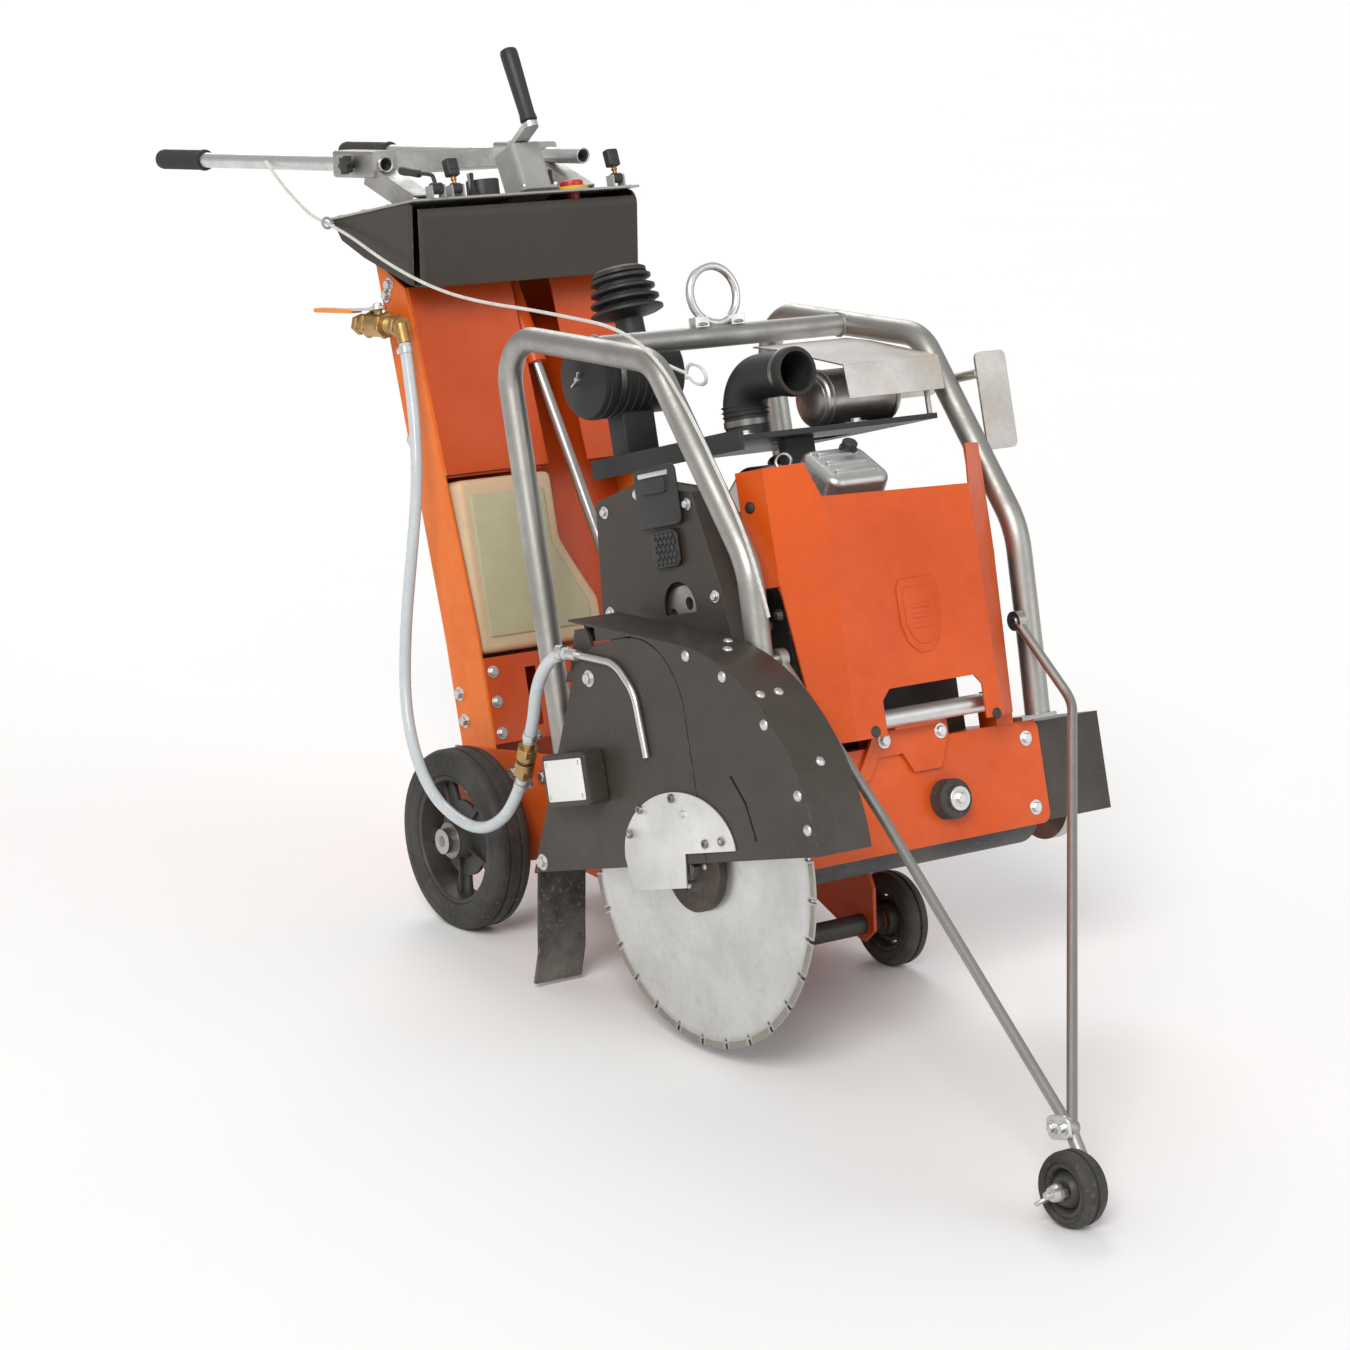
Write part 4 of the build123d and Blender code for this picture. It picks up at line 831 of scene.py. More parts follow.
def wing_nut():
    """The guide wheel's clamp: a threaded stud, a collar and two flared wings."""
    place = facing((GUIDE_AXLE[0], -334, GUIDE_AXLE[1]), (0, -1, 0))
    stud = turned([(0, 26), (4.2, 25.4), (5, 24), (5, 0)], place, 20)
    collar = turned([(5, 3), (11, 3), (12, 5), (10, 14), (8, 17), (5, 17)], place, 28)
    wings = []
    for side in (-1, 1):
        leaf = [(side * 6, 4), (side * 12, 4), (side * 24, 14), (side * 27, 24),
                (side * 22, 28), (side * 15, 24), (side * 7, 15)]
        wings.append(slab(leaf, 4, place @ Matrix.Rotation(0.5, 4, "Z")
                          @ Matrix.Rotation(pi / 2, 4, "X") @ Matrix.Translation((0, 0, -2)), 1.3))
    make("guide_wing_nut", [stud, collar] + wings, "bright", body="pointer_body")
    fork = Vector((1326, -284, -399.6))
    lug = slab(rectangle(40, 30, 9), 5, facing(fork + Vector((0, -14, 4)), (0, -1, 0)), 1)
    make("pointer_fork_lug", [lug], "bright", body="pointer_body")
    repeat("pointer_fork_bolts", hex_bolt(6, 4.5, 9),
           [facing(fork + Vector((dx, -19, 4)), (0, -1, 0)) for dx in (-10, 10)], "bright",
           body="pointer_body")


# ---- handlebars and controls ----
RISE = radians(11.4)
HANDLE = Vector((-cos(RISE), 0, sin(RISE)))
CRANK = Vector((-sin(radians(14)), 0, cos(radians(14))))


def on_handle(side, distance):
    """A point on one handlebar, by its distance behind the handle frame."""
    return Vector((-150, side * 150, 1046)) + HANDLE * distance


def grip_profile(start, end, radius, ribs):
    """A soft grip: collar, ridges along the hand's length, and a closed round end."""
    profile = [(radius - 3.4, start), (radius + 0.8, start + 1), (radius + 1.2, start + 4),
               (radius + 0.4, start + 8)]
    length = end - start - 24
    for i in range(ribs):
        base = start + 10 + length * i / ribs
        step = length / ribs
        profile += [(radius - 1.1, base), (radius - 1.1, base + step * 0.25),
                    (radius, base + step * 0.4), (radius, base + step * 0.85)]
    return profile + [(radius + 0.3, end - 9), (radius - 0.6, end - 3), (radius - 4, end - 0.4),
                      (radius - 9, end), (0, end)]


def handlebars():
    """Tubes and ribbed grips, with a bush and a clamp knob on each sleeve."""
    for side, drawn, word in ((-1, 675, "right"), (1, 575, "left")):
        body = f"handlebar_{word}_body"
        line = facing(on_handle(side, 0), HANDLE)
        tube = turned([(10, drawn - 719), (12.1, drawn - 720), (12.5, drawn - 719.4),
                       (12.5, drawn - 100), (10, drawn - 100)], line, 36, ring=True)
        make(f"handlebar_tube_{word}", [tube], "bright", body=body,
             stands_for=(f"handlebar_{word}",))
        grip = turned(grip_profile(drawn - 146, drawn + 3, 16.6, 22), line, 36)
        make(f"handlebar_grip_{word}", [grip], "rubber", body=body)
        hole = turned([(12.7, 81.2), (17, 81.2), (17.4, 80), (12.7, 80)], line, 30, ring=True)
        make(f"sleeve_bush_{word}", [hole], "plastic")
        knob = facing(on_handle(side, 20) + Vector((0, side * 21, 0)), (0, side, 0))
        star = []
        for i in range(48):
            swell = 13 + 2.4 * cos(6 * 2 * pi * i / 48)
            star.append((swell * cos(2 * pi * i / 48), swell * sin(2 * pi * i / 48)))
        clamp = slab(star, 13, knob @ Matrix.Translation((0, 0, 6)), 2.0)
        stem = turned([(6, -2), (6, 8)], knob, 20)
        make(f"clamp_knob_{word}", [clamp, stem], "plastic")


def crank_parts():
    """The turning grip, the hub cap, and the flange that holds the crank housing."""
    base = Vector((-16, 45, 962))
    tip = base + CRANK * 82 + Vector((78 * cos(radians(14)), -18, 78 * sin(radians(14))))
    line = facing(tip, CRANK)
    grip = turned([(6.1, 8), (12.4, 8), (13.6, 9.5), (13.2, 14), (12.2, 20), (12.6, 45),
                   (13.4, 80), (14, 108), (14, 122), (12.6, 127), (8, 129.6), (0, 130)], line, 36)
    make("crank_handle", [grip], "plastic", body="crank_grip_body", stands_for=("crank_grip",))
    hub = facing(base + CRANK * 76, CRANK)
    cap = turned([(0, 18), (7, 17.4), (11, 15), (12.4, 11), (12.4, 4), (9, 3)], hub, 36)
    make("crank_hub_cap", [cap], "bright", body="crank_body")
    square = Matrix.Translation(base) @ Matrix((Vector((0, 1, 0)), CRANK.cross(Vector((0, 1, 0))),
                                                CRANK)).transposed().to_4x4()
    collar = turned([(9.4, 75.5), (20, 75.5), (21.5, 74), (21.5, 72), (9.4, 72)], square, 40,
                    ring=True)
    flange = slab(rectangle(70, 76, 10), 5, square @ Matrix.Translation((0, 0, -4.5)), 1.2)
    make("crank_housing_flange", [collar, flange], "grey")
    corners = [square @ Matrix.Translation((sx * 29, sy * 33, 0.6))
               for sx in (-1, 1) for sy in (-1, 1)]
    repeat("crank_housing_screws", socket_screw(4.5, 4), corners, "bright")


def lever(name, node, body, x, y):
    """A flat knob on a plated stem, with a moulded boot over its slot."""
    lean = Matrix.Translation((x, y, 972)) @ Matrix.Rotation(radians(-9), 4, "Y")
    head = slab(rectangle(17, 21, 4.5), 27, lean @ Matrix.Translation((0, 0, 19)), 2.6, 3)
    pocket = slab(rectangle(11, 14, 3), 1.6,
                  lean @ Matrix.Translation((8.4, 0, 33)) @ Matrix.Rotation(pi / 2, 4, "Y"), 0.7)
    hub = turned([(0, -8), (7.4, -8), (8, -7.4), (8, 7.4), (7.4, 8), (0, 8)],
                 facing((x, y, 972), (0, 1, 0)), 28)
    make(name + "_knob", [head, pocket, hub], "plastic", body=body, stands_for=(node,))
    stem = turned([(3.4, 2), (3.4, 12), (4.6, 13), (4.6, 16), (3.4, 17), (3.4, 24)], lean, 20)
    make(name + "_stem", [stem], "yellow_zinc", body=body)


def levers():
    """Choke, speed and throttle levers."""
    lever("choke", "choke_lever", "choke_body", 40, -125)
    lever("speed", "speed_lever", "speed_body", 40, 172)
    arm = pipe([(48, -165, 974), (46, -165, 990), (38, -165, 996), (6, -165, 1003),
                (-20, -165, 1010), (-40, -165, 1015)], 3.2)
    end = facing((-24, -165, 1011), (-42, 0, 12))
    sleeve = turned([(3.4, -34), (5.6, -33), (6.2, -30), (6, -10), (6.8, 8), (6.6, 18),
                     (4, 21), (0, 21.6)], end, 28)
    hub = turned([(0, -9), (8.4, -9), (9, -8), (9, 8), (8.4, 9), (0, 9)],
                 facing((48, -165, 972), (0, 1, 0)), 30)
    make("throttle_arm", [arm, sleeve, hub], "plastic", body="throttle_body",
         stands_for=("throttle_lever",))


DOWN_PANEL = Vector((-251, 0, 15.4)).normalized()
OFF_PANEL = Vector((15.4, 0, 251)).normalized()
PANEL_TOP = Vector((48, 0, 958.4))
PANEL = Matrix((-DOWN_PANEL, Vector((0, 1, 0)), OFF_PANEL)).transposed().to_4x4()


def on_panel(back, y, lift=0.0):
    """A place on the console's sloping panel, its +Z square to the panel."""
    spot = PANEL_TOP + DOWN_PANEL * back + Vector((0, y, 0)) + OFF_PANEL * lift
    return Matrix.Translation(spot) @ PANEL


def gauge():
    """A round gauge with plain ticks and a needle."""
    bezel = turned([(19, 29), (24.5, 29), (25.5, 27), (25.5, 0), (24, 0)],
                   on_panel(65, -40, -1), 48)
    dial = turned([(0, 26.5), (19.4, 26.5)], on_panel(65, -40, -1), 48)
    make("gauge_bezel", [bezel], "plastic")
    make("gauge_dial", [dial], "label")
    needle = slab([(-1.2, -5), (1.2, -5), (0.4, 15), (-0.4, 15)], 0.6,
                  on_panel(65, -40, 26) @ Matrix.Rotation(0.8, 4, "Z"))
    boss = turned([(0, 28), (2.4, 27.6), (3, 25.4)], on_panel(65, -40, -1), 20)
    make("gauge_needle", [needle, boss], "plastic")
    ticks = [on_panel(65, -40, 25.7) @ Matrix.Rotation(radians(-130 + 26 * i), 4, "Z")
             @ Matrix.Translation((0, 15.6, 0)) for i in range(11)]
    tick = joined([slab(rectangle(1.0, 4.0), 0.3, Matrix())])
    repeat("gauge_ticks", tick, ticks, "plastic")


def switches():
    """Toggles, ignition lock, hour meter, panel screws and the stop button's collar."""
    boots = []
    for back, y in ((39, -75), (60, 60), (60, 84)):
        spot = on_panel(back, y)
        boots.append(turned([(11, 0), (11, 2.4), (8, 3), (8, 6), (6.4, 7), (7, 8.6), (5.6, 10),
                             (6, 11.4), (4.4, 13), (2.6, 24), (3.2, 34), (3.0, 37), (0, 38)],
                            spot, 28))
    make("toggle_boots", boots, "rubber")
    key = on_panel(110, -60)
    lock = turned([(0, 7), (9, 7), (10, 6), (10, 2), (14, 1.6), (14.6, 0)], key, 36)
    blade = slab(rectangle(3, 16, 1.2), 20, key @ Matrix.Translation((0, 0, 6)), 0.8)
    make("ignition_lock", [lock, blade], "bright")
    meter = on_panel(150, 60)
    frame_box = slab(rectangle(58, 84, 7), 9, meter, 2.0, 3)
    make("hour_meter_case", [frame_box], "plastic")
    window = slab(rectangle(30, 56, 3), 0.8, meter @ Matrix.Translation((0, 0, 8.6)), 0.3)
    make("hour_meter_window", [window], "dark_glass")
    spots = [on_panel(back, y) for y in (-196, 196) for back in (14, 90, 166, 238)]
    repeat("panel_screws", dome_bolt(5.5, 3.2), spots, "bright")
    collar = turned([(20, 0), (25, 0), (26, 1), (26, 5.5), (24.5, 7), (20, 7)],
                    on_panel(43, 110), 44, ring=True)
    make("stop_collar", [collar], "yellow_plastic")


# ---- blade and guard ----
def blade_parts():
    """Diamond segments on the rim, and the outer flange with its pins."""
    rings = facing((BLADE_X, -314.5, BLADE_Z), (0, 1, 0))
    segment_outline = []
    sweep = radians(360 / BLADE_SLOTS)
    gap = radians(1.35)
    outside, inside = BLADE_RADIUS - 0.1, BLADE_RADIUS - 9.5
    for step in range(7):
        angle = -sweep / 2 + gap + (sweep - 2 * gap) * step / 6
        segment_outline.append((outside * cos(angle), outside * sin(angle)))
    for step in range(7):
        angle = sweep / 2 - gap - (sweep - 2 * gap) * step / 6
        segment_outline.append((inside * cos(angle), inside * sin(angle)))
    part = joined([slab(segment_outline, 3.8, Matrix.Translation((0, 0, -1.9)), 0.4, 1)])
    places = [rings @ Matrix.Rotation(sweep * (i + 0.5), 4, "Z") for i in range(BLADE_SLOTS)]
    repeat("blade_segments", part, places, "segment", body="spindle")
    outer = facing((BLADE_X, -316, BLADE_Z), (0, -1, 0))
    flange = turned([(12.9, 12.6), (34, 12.6), (38, 11.6), (52, 8.5), (60, 6.6), (62, 5.4),
                     (62.2, 0), (12.9, 0)], outer, 64, ring=True)
    make("outer_flange", [flange], "dull_black", body="spindle")
    pins = [outer @ Matrix.Rotation(2 * pi * i / 3, 4, "Z") @ Matrix.Translation((28, 0, 12.4))
            for i in range(3)]
    repeat("flange_pins", dome_bolt(5, 1.6), pins, "bright", body="spindle")


def guard_plates():
    """The bright cover over the blade's hub, and the box with a blank label."""
    arch = []
    for i in range(33):
        angle = pi * i / 32
        arch.append((687 + 128 * cos(angle), -34 + 84 * sin(angle)))
    arch += [(559, -34), (568, -80), (692, -80), (700, -34)]
    upright = Matrix(((1, 0, 0, 0), (0, 0, -1, GUARD_FACE - 1), (0, 1, 0, 0), (0, 0, 0, 1)))
    plate = slab(arch, 3, upright, 0.7)
    make("hub_cover_plate", [plate], "shiny_plate", stands_for=("guard_face_plates",))
    box = slab([(x + 486, z + 81) for x, z in rectangle(108, 74, 9)], 34, upright, 3.0, 3)
    make("label_box", [box], "dark")
    label = slab([(x + 486, z + 81) for x, z in rectangle(92, 58, 3)], 1.2,
                 upright @ Matrix.Translation((0, 0, 33.6)), 0.3)
    make("blank_label", [label], "label")
    corners = [facing((486 + sx * 40, GUARD_FACE - 35.6, 81 + sz * 23), (0, -1, 0))
                for sx in (-1, 1) for sz in (-1, 1)]
    repeat("label_rivets", dome_bolt(3.2, 2.0), corners, "bright")
    screws = [facing((x, GUARD_FACE - 3.8, z), (0, -1, 0))
              for x, z in ((580, -2), (612, 30), (790, -20), (752, -22), (690, 42))]
    repeat("cover_plate_screws", socket_screw(6, 4.4), screws, "dull_nickel")


def guard_bolts():
    """Bolts on the side and rim of both halves of the guard."""
    rear = [facing((x, GUARD_FACE, z), (0, -1, 0))
            for x, z in ((345, -34), (400, 60), (530, 215))]
    repeat("rear_guard_bolts", hex_bolt(8, 6, 12), rear, "bright")
    centre = Vector((BLADE_X, 0, BLADE_Z))
    edge = []
    for angle in (8, 17, 38, 58, 74):
        edge.append(facing((centre.x + 293 * cos(radians(angle)), GUARD_FACE,
                            centre.z + 293 * sin(radians(angle))), (0, -1, 0)))
    repeat("front_guard_bolts", dome_bolt(8, 4.5), edge, "bright", body="front_guard_body")
    top = []
    for angle, y in ((24, -300), (46, -300), (46, -330), (68, -300), (74, -275)):
        out = Vector((cos(radians(angle)), 0, sin(radians(angle))))
        top.append(facing(Vector((centre.x, y, centre.z)) + out * 304.6, out))
    repeat("guard_rim_bolts", dome_bolt(7, 4), top, "bright", body="front_guard_body")


# ---- water line ----
def water_parts():
    """Hexagon fittings and clamps on the valve, and the painted end of its lever."""
    line = Vector((126, 0, -22)).normalized()
    start = Vector((-150, -215, 800))
    hexes = []
    for distance, radius, width in ((6, 16.5, 12), (34, 21, 10), (78, 21, 10), (112, 16.5, 12)):
        spot = facing(start + line * distance, line, 0.3)
        half = width / 2
        hexes.append(turned([(10, -half), (radius - 1.5, -half), (radius, -half + 1.4),
                             (radius, half - 1.4), (radius - 1.5, half), (10, half)],
                            spot, 6, ring=True))
    for i in range(5):
        spot = facing(start + line * (92 + 3.4 * i), line)
        hexes.append(turned([(12.6, -1.2), (14.4, 0), (12.6, 1.2)], spot, 28, ring=True))
    tee = facing((-128, -190, 796), (0, 1, 0))
    hexes.append(turned([(10, -4), (15, -4), (16, -2.8), (16, 2.6), (10, 2.6)], tee, 6, ring=True))
    make("valve_fittings", hexes, "brass")
    clamps = []
    for spot, aim, radius in (((-26.5, -215.2, 742), (0, 0, 1), 9.6),
                              ((316, -343, 78), (42, -7, 34), 9.6),
                              ((374, -353, 146), (30, -6, 30), 9.6),
                              ((487, -357, 256), (18, 7, -3), 9.6)):
        clamps += band(spot, aim, radius, 10)
    make("hose_clamps", clamps, "bright")
    couple = []
    run = Vector((40, -7, 50)).normalized()
    for distance in (12, 48):
        spot = facing(Vector((326, -345, 88)) + run * distance, run)
        couple.append(turned([(9, -6), (14.6, -6), (16, -4.4), (16, 4.4), (14.6, 6), (9, 6)],
                             spot, 6, ring=True))
    for i in range(9):
        spot = facing(Vector((326, -345, 88)) + run * (22 + 2.2 * i), run)
        couple.append(turned([(9, -0.7), (11.6, 0), (9, 0.7)], spot, 28, ring=True))
    make("coupling_fittings", couple, "brass")
    pivot = facing((-88, -215, 817.5), (0, 0, 1))
    repeat("valve_lever_nut", hex_bolt(7, 4, 10), [pivot], "bright", body="valve_lever_body")
    path = [(-152, 824.4), (-264, 843.4), (-264, 836.6), (-152, 817.6)]
    upright = Matrix(((1, 0, 0, 0), (0, 0, -1, -204.5), (0, 1, 0, 0), (0, 0, 0, 1)))
    sleeve = slab(path, 21, upright, 2.2, 3)
    make("valve_lever_sleeve", [sleeve], "orange_grip", body="valve_lever_body")


def tank():
    """A blow-moulded tank: soft corners, a parting seam and a shallow panel."""
    outline = [(-179, 268), (48, 268), (48, 330), (14, 390), (-6, 430), (-6, 534), (-179, 534)]
    upright = Matrix(((0, 0, 1, -66), (1, 0, 0, 0), (0, 1, 0, 0), (0, 0, 0, 1)))
    body = slab(outline, 71, upright, 11, 4)
    middle = sum((Vector(point) for point in outline), Vector((0, 0))) / len(outline)
    seam = slab([tuple(middle + (Vector(p) - middle) * 0.998) for p in outline], 2.2,
                Matrix(((0, 0, 1, -31.6), (1, 0, 0, 0), (0, 1, 0, 0), (0, 0, 0, 1))), 0.7)
    panel = slab([(-160, 292), (26, 292), (26, 326), (-4, 380), (-26, 424), (-26, 508),
                  (-160, 508)], 3.4, Matrix(((0, 0, 1, 3.4), (1, 0, 0, 0), (0, 1, 0, 0),
                                             (0, 0, 0, 1))), 3.0, 3)
    make("tank_shell", [body, seam, panel], "tank", stands_for=("water_tank",))


# ---- front end ----
def front_details():
    """A plain raised shield, plugs, the step's tube, and the bumper's washer and bolt."""
    shield = [(-30, 34), (-24, 44), (24, 44), (30, 34), (30, -8), (22, -30), (8, -42), (-8, -42),
              (-22, -30), (-30, -8)]
    ahead = Matrix(((0, 0, 1, 824.6), (1, 0, 0, 9), (0, 1, 0, 234), (0, 0, 0, 1)))
    outer = slab([(x * 1.2, y * 1.2) for x, y in shield], 2.6, ahead, 1.3, 3)
    inner = slab([(x * 0.92, y * 0.92) for x, y in shield], 2.2,
                 ahead @ Matrix.Translation((0, 0, 2.0)), 1.2, 3)
    bars = [slab(rectangle(34, 6, 2), 1.8, ahead @ Matrix.Translation((0, shift, 3.8)), 0.9)
            for shift in (-14, 0, 14)]
    make("cover_relief", [outer, inner] + bars, "orange")
    plugs = [facing((825, -96, 88), (1, 0, 0)), facing((825, 118, 84), (1, 0, 0)),
             facing((757, -199, 411), (0.29, -1, 0)), facing((757, 199, 411), (0.29, 1, 0)),
             facing((757, -199, 250), (0.29, -1, 0)), facing((757, 199, 250), (0.29, 1, 0))]
    repeat("cover_plugs", dome_bolt(8, 4), plugs, "rubber")
    sleeve = turned([(12.1, -117), (13, -118), (13, 118), (12.1, 117)],
                    facing((797, 0, 101), (0, 1, 0)), 36, ring=True)
    make("step_tube", [sleeve], "bright")
    washer = facing((806, 47, -23), (1, 0, 0))
    disc = turned([(0, 1.4), (16.4, 1.4), (17, 0.8), (17, -4)], washer, 40)
    make("bumper_washer", [disc], "bright")
    repeat("bumper_bolt", hex_bolt(8.4, 4.4, 11), [washer @ Matrix.Translation((0, 0, 1))],
           "bright")
    spots = [facing((781, y, z), (1, 0, 0)) for y, z in ((-50, 72), (50, 72))]
    spots += [facing((775, y, z), (1, 0, 0)) for y, z in ((-205, 40), (205, 40), (-205, -58),
                                                          (205, -58))]
    repeat("beam_bolts", hex_bolt(7.6, 5, 11), spots, "bright")


def frame_details():
    """Front axle sleeve, bolts, rivets, step treads and weld beads."""
    axle = turned([(15.0, -131), (15.5, -130.5), (15.5, 130.5), (15.0, 131)],
                  facing((FRONT_AXLE[0], 0, FRONT_AXLE[1]), (0, 1, 0)), 36, ring=True)
    make("front_axle_sleeve", [axle], "dull_black", body="front_arm_body")
    spots = []
    for side in (-1, 1):
        for x, z in ((-92, 850), (-104, 835), (-92, 610), (-66, 214), (-62, 172)):
            spots.append(facing((x, side * 186, z), (0, side, 0)))
        for x, z in ((-70, 70), (60, 86), (140, 76), (350, 30), (470, 40), (470, -50)):
            spots.append(facing((x, side * 190, z), (0, side, 0)))
    repeat("column_bolts", hex_bolt(7.8, 6.2, 11.5), spots, "bright")
    slope = Vector((31, 0, -293)).normalized()
    out = Vector((293, 0, 31)).normalized()
    rivets = [facing(Vector((-50, y, 838)) + slope * (20 + 62 * i), out)
              for y in (-172, -8, 172) for i in range(5)]
    repeat("panel_rivets", dome_bolt(4.4, 2.4), rivets, "bright")
    lower = [facing((8, y, z), (1, 0, 0)) for y in (-168, 168) for z in (146, 194, 240)]
    repeat("skirt_bolts", hex_bolt(6.4, 4.6, 9.5), lower, "bright")
    steps = []
    for side in (-1, 1):
        grip = facing((767, side * 163, 112.2), (0, 0, 1))
        for i in range(5):
            steps.append(slab(rectangle(4, 24, 1.4), 1.6,
                              grip @ Matrix.Translation((-13 + 6.5 * i, 0, 0)), 0.5))
    make("step_treads", steps, "rubber")
    welds = []
    for side in (-1, 1):
        centre = Vector((478, side * 218.5, 671))
        welds.append(turned([(15.6, -2.6), (18.4, -1.4), (19, 0.6), (17.4, 2.4), (15.6, 2.6)],
                            facing(centre, (0, side, 0)), 36, ring=True))
    for y in (-32, 32):
        welds.append(turned([(9, -2), (12, -1), (12.4, 1), (9, 3)],
                            facing((478, y, 688.6), (0, 0, 1)), 24, ring=True))
    make("cage_welds", welds, "tube")


# ---- engine ----
def air_cleaner():
    """The canister on its saddle, with the ringed stack that keeps coarse dust out."""
    cleaner = facing((365, -98, 638), (0, -1, 0))
    can = turned([(0, -73), (50, -73), (56, -70), (58, -66), (58, -20), (59.4, -19), (59.4, -14),
                  (58, -13), (58, 52), (60.5, 53), (60.5, 60), (59, 61), (59, 66), (57, 70),
                  (46, 73.5), (20, 74.5), (14, 76), (0, 76)], cleaner, 64)
    ribs = [turned([(57.5, at_height), (59.4, at_height + 1), (59.4, at_height + 3),
                    (57.5, at_height + 4)], cleaner, 64, ring=True)
            for at_height in (-4, 10, 24, 38)]
    stem = turned([(0, 85), (3, 84.6), (4, 83), (4, 74)], cleaner, 16)
    wings = [slab([(3, 0), (9, 1), (15, 7), (14, 12), (8, 10), (3, 8)], 3.4,
                  cleaner @ Matrix.Rotation(0.7 + pi * i, 4, "Z")
                  @ Matrix.Translation((0, 1.7, 75)) @ Matrix.Rotation(pi / 2, 4, "X"), 1.1)
             for i in range(2)]
    saddle = slab(rectangle(40, 58, 4), 78, facing((365, -95, 512), (0, 0, 1)), 3)
    neck = facing((342, -55, 690), (-5, 0, 48))
    bell = [(21, -34), (21, 30)]
    for i in range(4):
        wide = 54 - 3 * i
        base = 37 + 16 * i
        bell += [(34, base), (wide - 6, base), (wide, base + 2.5), (wide, base + 6.5),
                 (wide - 5, base + 9), (34, base + 10)]
    bell += [(40, 96), (40, 102), (34, 105.5), (0, 106)]
    stack = turned(bell, neck, 56)
    make("air_cleaner_can", [can, saddle, stack] + ribs, "plastic", stands_for=("air_cleaner",))
    make("air_cleaner_nut", [stem] + wings, "bright")
    clips = band((365, -138, 638), (0, 1, 0), 59.2, 9, 1.4) + band((345, -55, 684), (-5, 0, 48),
                                                                21.4, 9, 1.2)
    make("air_cleaner_clamps", clips, "dull_nickel")


def intake_elbow():
    """Clamps, ribs and collar of the rubber elbow."""
    elbow = band((540, -20, 538), (0, 0, 1), 32.2, 9, 1.4) \
        + band((652, -20, 595), (128, 0, -7), 32.2, 9, 1.4)
    make("elbow_clamps", elbow, "dull_nickel")
    ribs = [turned([(31.6, -1.6), (34, -0.8), (34, 0.8), (31.6, 1.6)],
                   facing((540, -20, 549 + 7 * i), (0, 0, 1)), 44, ring=True) for i in range(3)]
    collar = turned([(28.4, -8), (34, -8), (35, -6), (35, 6), (34, 8), (28.4, 8)],
                    facing((664, -20, 594.3), (128, 0, -7)), 44, ring=True)
    make("elbow_ribs", ribs + [collar], "rubber")


def cylinder_heads():
    """What is on each of the two leaning cylinders: cover ribs and bolts, cap, plug boot."""
    for side in (-1, 1):
        frame_of = Matrix.Translation((ENGINE_X, -30 * side, ENGINE_Z)) \
            @ Matrix.Rotation(side * radians(36.87), 4, "Y")
        rib = [slab(rectangle(70, 10, 4), 5, frame_of @ Matrix.Translation((shift, 0, 240))
                    @ Matrix.Rotation(pi / 2, 4, "Z"), 1.8) for shift in (-22, 0, 22)]
        make(f"valve_cover_ribs_{'rear' if side < 0 else 'front'}", rib, "alloy")
        screws = [frame_of @ Matrix.Translation((sx * 45, sy * 53, 201))
                  for sx in (-1, 1) for sy in (-1, 1)]
        repeat(f"valve_cover_bolts_{'rear' if side < 0 else 'front'}", hex_bolt(5.4, 5, 8), screws,
               "bright")
        cap = frame_of @ Matrix.Translation((-30 * side, 24, 240))
        filler = turned([(0, 16), (9, 16), (11, 14), (11, 6), (13, 5), (13, 0)], cap, 28)
        make(f"valve_cover_cap_{'rear' if side < 0 else 'front'}", [filler], "plastic")
        plug = frame_of @ Matrix.Translation((0, -62, 150)) \
            @ Matrix.Rotation(radians(90), 4, "X")
        boot = turned([(0, 26), (7, 25.4), (8, 23), (8, 10), (10, 8), (10, 0)], plug, 24)
        make(f"plug_boot_{'rear' if side < 0 else 'front'}", [boot], "rubber")


def engine_bolts():
    """Screws round the fan shroud and on the top plate."""
    shroud = [facing((ENGINE_X + 100 * cos(2 * pi * i / 8), 195.6,
                      ENGINE_Z + 100 * sin(2 * pi * i / 8)),
                     (0, 1, 0)) for i in range(8)]
    repeat("shroud_screws", hex_bolt(5, 4, 7.5), shroud, "bright")
    deck = [facing((x, y, 513), (0, 0, 1)) for x, y in ((350, -135), (350, 150), (450, -135),
                                                       (480, 150), (680, -130), (685, 60))]
    repeat("top_plate_bolts", hex_bolt(7, 5, 11), deck, "bright")


def pull_wires():
    """The wire loop on the side hoop, and a small ring by the valve cover."""
    ring = pipe([(600, -156, 612), (604, -158, 618), (622, -162, 624), (644, -162, 616),
                 (652, -160, 600), (640, -158, 590), (620, -158, 596), (604, -157, 608),
                 (598, -156, 606)], 2.6, 3)
    stem = pipe([(601, -157, 612), (600, -178, 622), (599, -207, 637)], 2.6)
    make("pull_loop", [ring, stem], "white_wire")
    lift = turned([(9, -2), (11, -2.4), (13, 0), (11, 2.4), (9, 2)],
                  facing((700, -88, 470), (0.7, -0.7, 0)), 28, ring=True)
    make("pull_ring", [lift], "bright")


def silencer():
    """Seams, strap and end plate."""
    seams = [turned([(40.6, -2), (42.6, -1), (42.6, 1), (40.6, 2)],
                    facing((606, y, 556), (0, 1, 0)), 56, ring=True) for y in (60, 172)]
    seams += band((606, 190, 560), (0, 1, 0), 16.2, 12, 1.6)
    make("silencer_seams", seams, "hot")
    face = turned([(0, 3), (24, 3), (30, 1.6), (33, 0), (33, -1)],
                  facing((606, 47, 556), (0, -1, 0)), 48)
    make("silencer_end", [face], "hot")


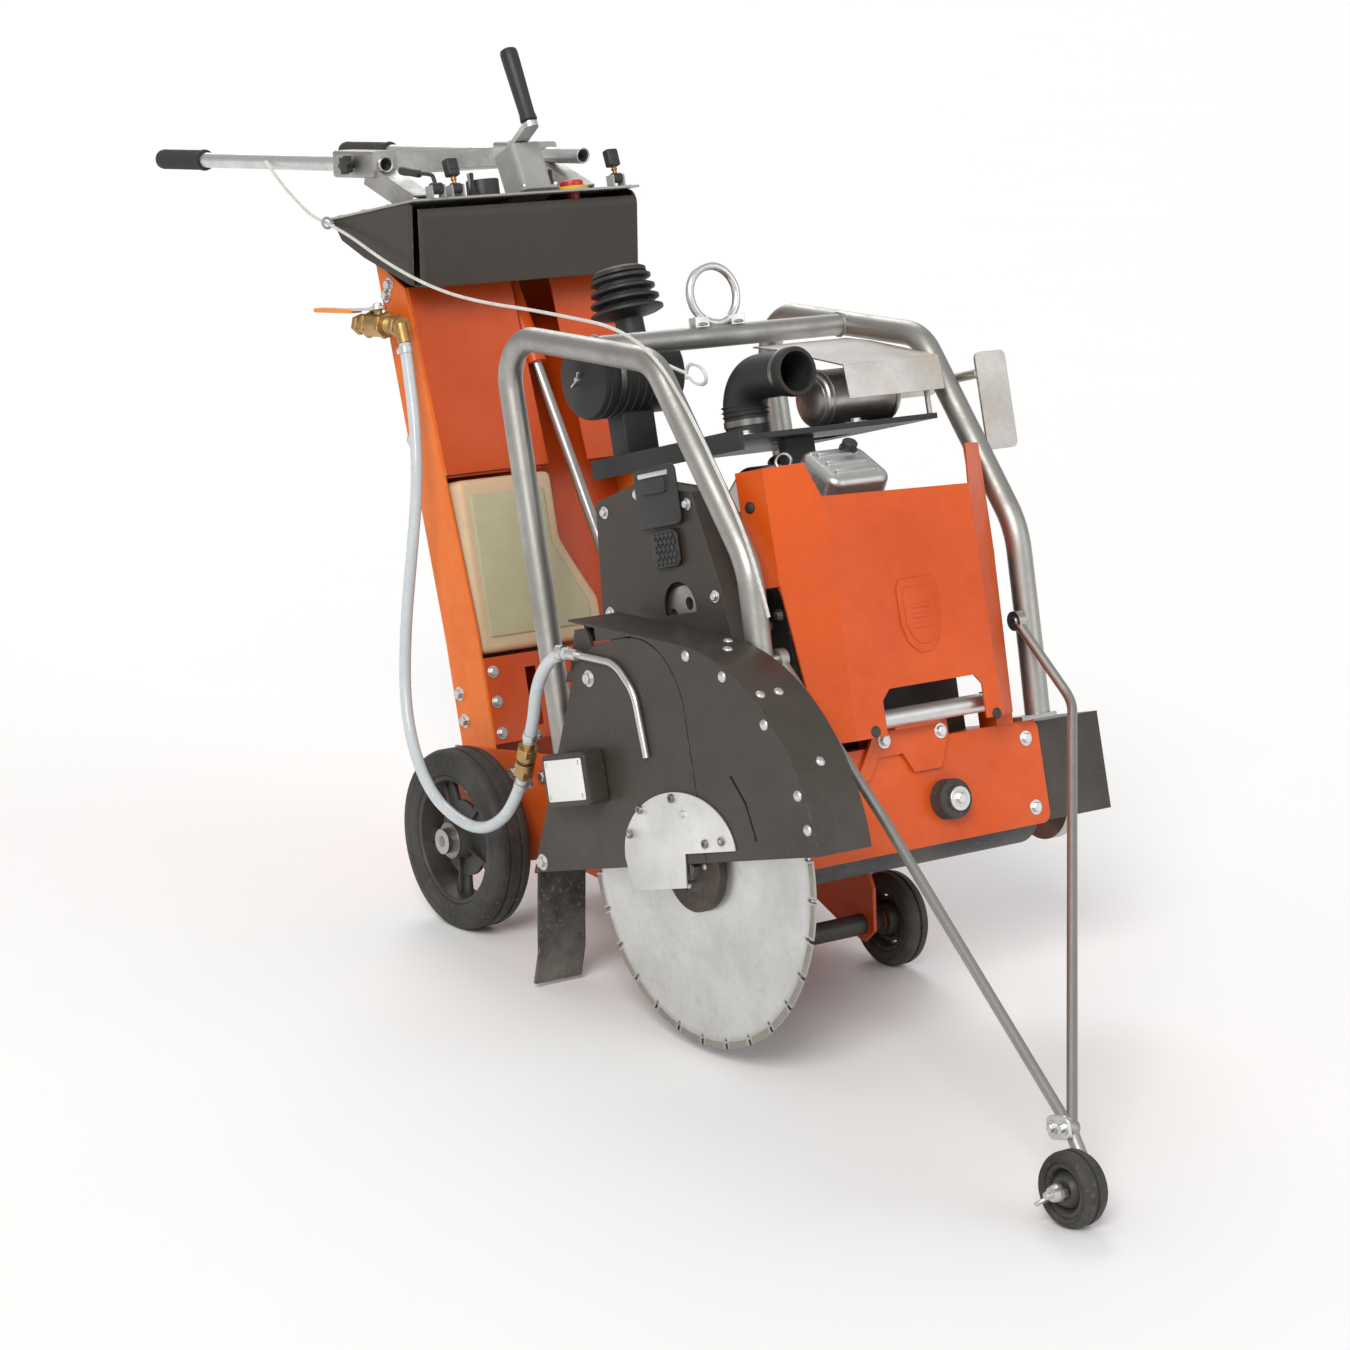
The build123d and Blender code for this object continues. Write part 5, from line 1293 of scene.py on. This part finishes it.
def control_box():
    """A box with a latch and a quilted lower part."""
    side_case = Matrix(((1, 0, 0, 616), (0, 0, -1, -244), (0, 1, 0, 0), (0, 0, 0, 1)))
    head = slab([(x, z + 447) for x, z in rectangle(98, 84, 10)], 6, side_case, 2.6, 3)
    latch = slab([(x, z + 462) for x, z in rectangle(56, 22, 4)], 11, side_case, 2.6, 3)
    lower = slab([(x, z + 375) for x, z in rectangle(64, 52, 12)], 4, side_case, 1.8, 3)
    make("control_box_case", [head, latch, lower], "plastic", stands_for=("control_box",))
    pads = [side_case @ Matrix.Translation((-20 + 10 * i + 5 * (j % 2), 357 + 9 * j, 3.6))
            for i in range(5) for j in range(5)]
    pad = joined([slab([(0, -5), (5.4, 0), (0, 5), (-5.4, 0)], 2.0, Matrix(), 0.8)])
    repeat("control_box_quilting", pad, pads, "plastic")
    strip = slab([(x, z + 478) for x, z in rectangle(70, 7, 2)], 7.2, side_case, 0.8)
    make("control_box_trim", [strip], "bright")


def belt_drive():
    """Belt guard bolts, the pulley's nose and the crankcase bolts."""
    guard = [facing((x, -240, z), (0, -1, 0)) for x, z in ((452, 300), (474, 440), (560, 456),
                                                          (672, 430), (706, 300), (600, 110),
                                                          (700, -40), (660, -90))]
    repeat("belt_guard_bolts", hex_bolt(6, 4.6, 9), guard, "bright")
    hub = turned([(0, 6), (9, 5), (12, 0), (12, -8)],
                 facing((ENGINE_X, -231, ENGINE_Z), (0, -1, 0)), 28)
    make("pulley_nose", [hub], "bright", body="engine_pulley_body")
    case = [facing((ENGINE_X + dx, -140, ENGINE_Z + dz), (0, -1, 0))
            for dx, dz in ((-88, -110), (-88, 0), (88, -110), (88, 0), (-60, 40), (60, 40))]
    repeat("crankcase_bolts", hex_bolt(6, 5, 9), case, "bright")


wheels()
wing_nut()
handlebars()
crank_parts()
levers()
gauge()
switches()
blade_parts()
guard_plates()
guard_bolts()
water_parts()
tank()
front_details()
frame_details()
air_cleaner()
intake_elbow()
cylinder_heads()
engine_bolts()
pull_wires()
silencer()
control_box()
belt_drive()


# ---- floor and light ----
WORLD_LIGHT = 0.5
FLOOR_REACH = 160.0


def floor_and_light():
    """A pale floor, an even sky and three soft suns."""
    mesh = bpy.data.meshes.new("studio_floor")
    corners = [(x * FLOOR_REACH, y * FLOOR_REACH, 0)
               for x, y in ((-1, -1), (1, -1), (1, 1), (-1, 1))]
    mesh.from_pydata(corners, [], [(0, 1, 2, 3)])
    floor = bpy.data.objects.new("studio_floor", mesh)
    bpy.context.scene.collection.objects.link(floor)
    pale = Finish("studio_floor")
    cloud = pale.t.noise(pale.place, 1.5, 4, 0.6)
    colour = pale.t.mixed(cloud, rgb(0.88, 0.88, 0.88), rgb(0.91, 0.91, 0.91))
    mesh.materials.append(pale.done(colour, 0.75))
    world = bpy.data.worlds.new("studio")
    bpy.context.scene.world = world
    world.use_nodes = True
    sky = Tree(world.node_tree)
    ray = sky.add("ShaderNodeLightPath", {}).outputs
    strength = sky.maths("ADD", WORLD_LIGHT, sky.maths("MULTIPLY", ray["Is Camera Ray"],
                                                      1.0 - WORLD_LIGHT))
    background = world.node_tree.nodes["Background"]
    background.inputs["Color"].default_value = rgb(1.0, 1.0, 1.0)
    sky.put(background.inputs["Strength"], strength)
    for name, place, power, spread, colour in (
            ("key_light", (3.2, -3.6, 4.2), 2.0, 26, (1.0, 0.98, 0.95)),
            ("fill_light", (4.6, 2.2, 2.6), 0.5, 40, (0.96, 0.98, 1.0)),
            ("back_light", (-3.6, 1.8, 3.8), 0.9, 30, (1.0, 1.0, 1.0))):
        lamp = bpy.data.lights.new(name, "SUN")
        lamp.energy, lamp.angle, lamp.color = power, radians(spread), colour
        light = bpy.data.objects.new(name, lamp)
        light.location = place
        aim = Vector((0, 0, 0.6)) - Vector(place)
        light.rotation_euler = aim.to_track_quat("-Z", "Y").to_euler()
        bpy.context.scene.collection.objects.link(light)


floor_and_light()
bpy.context.scene.view_settings.view_transform = "Standard"
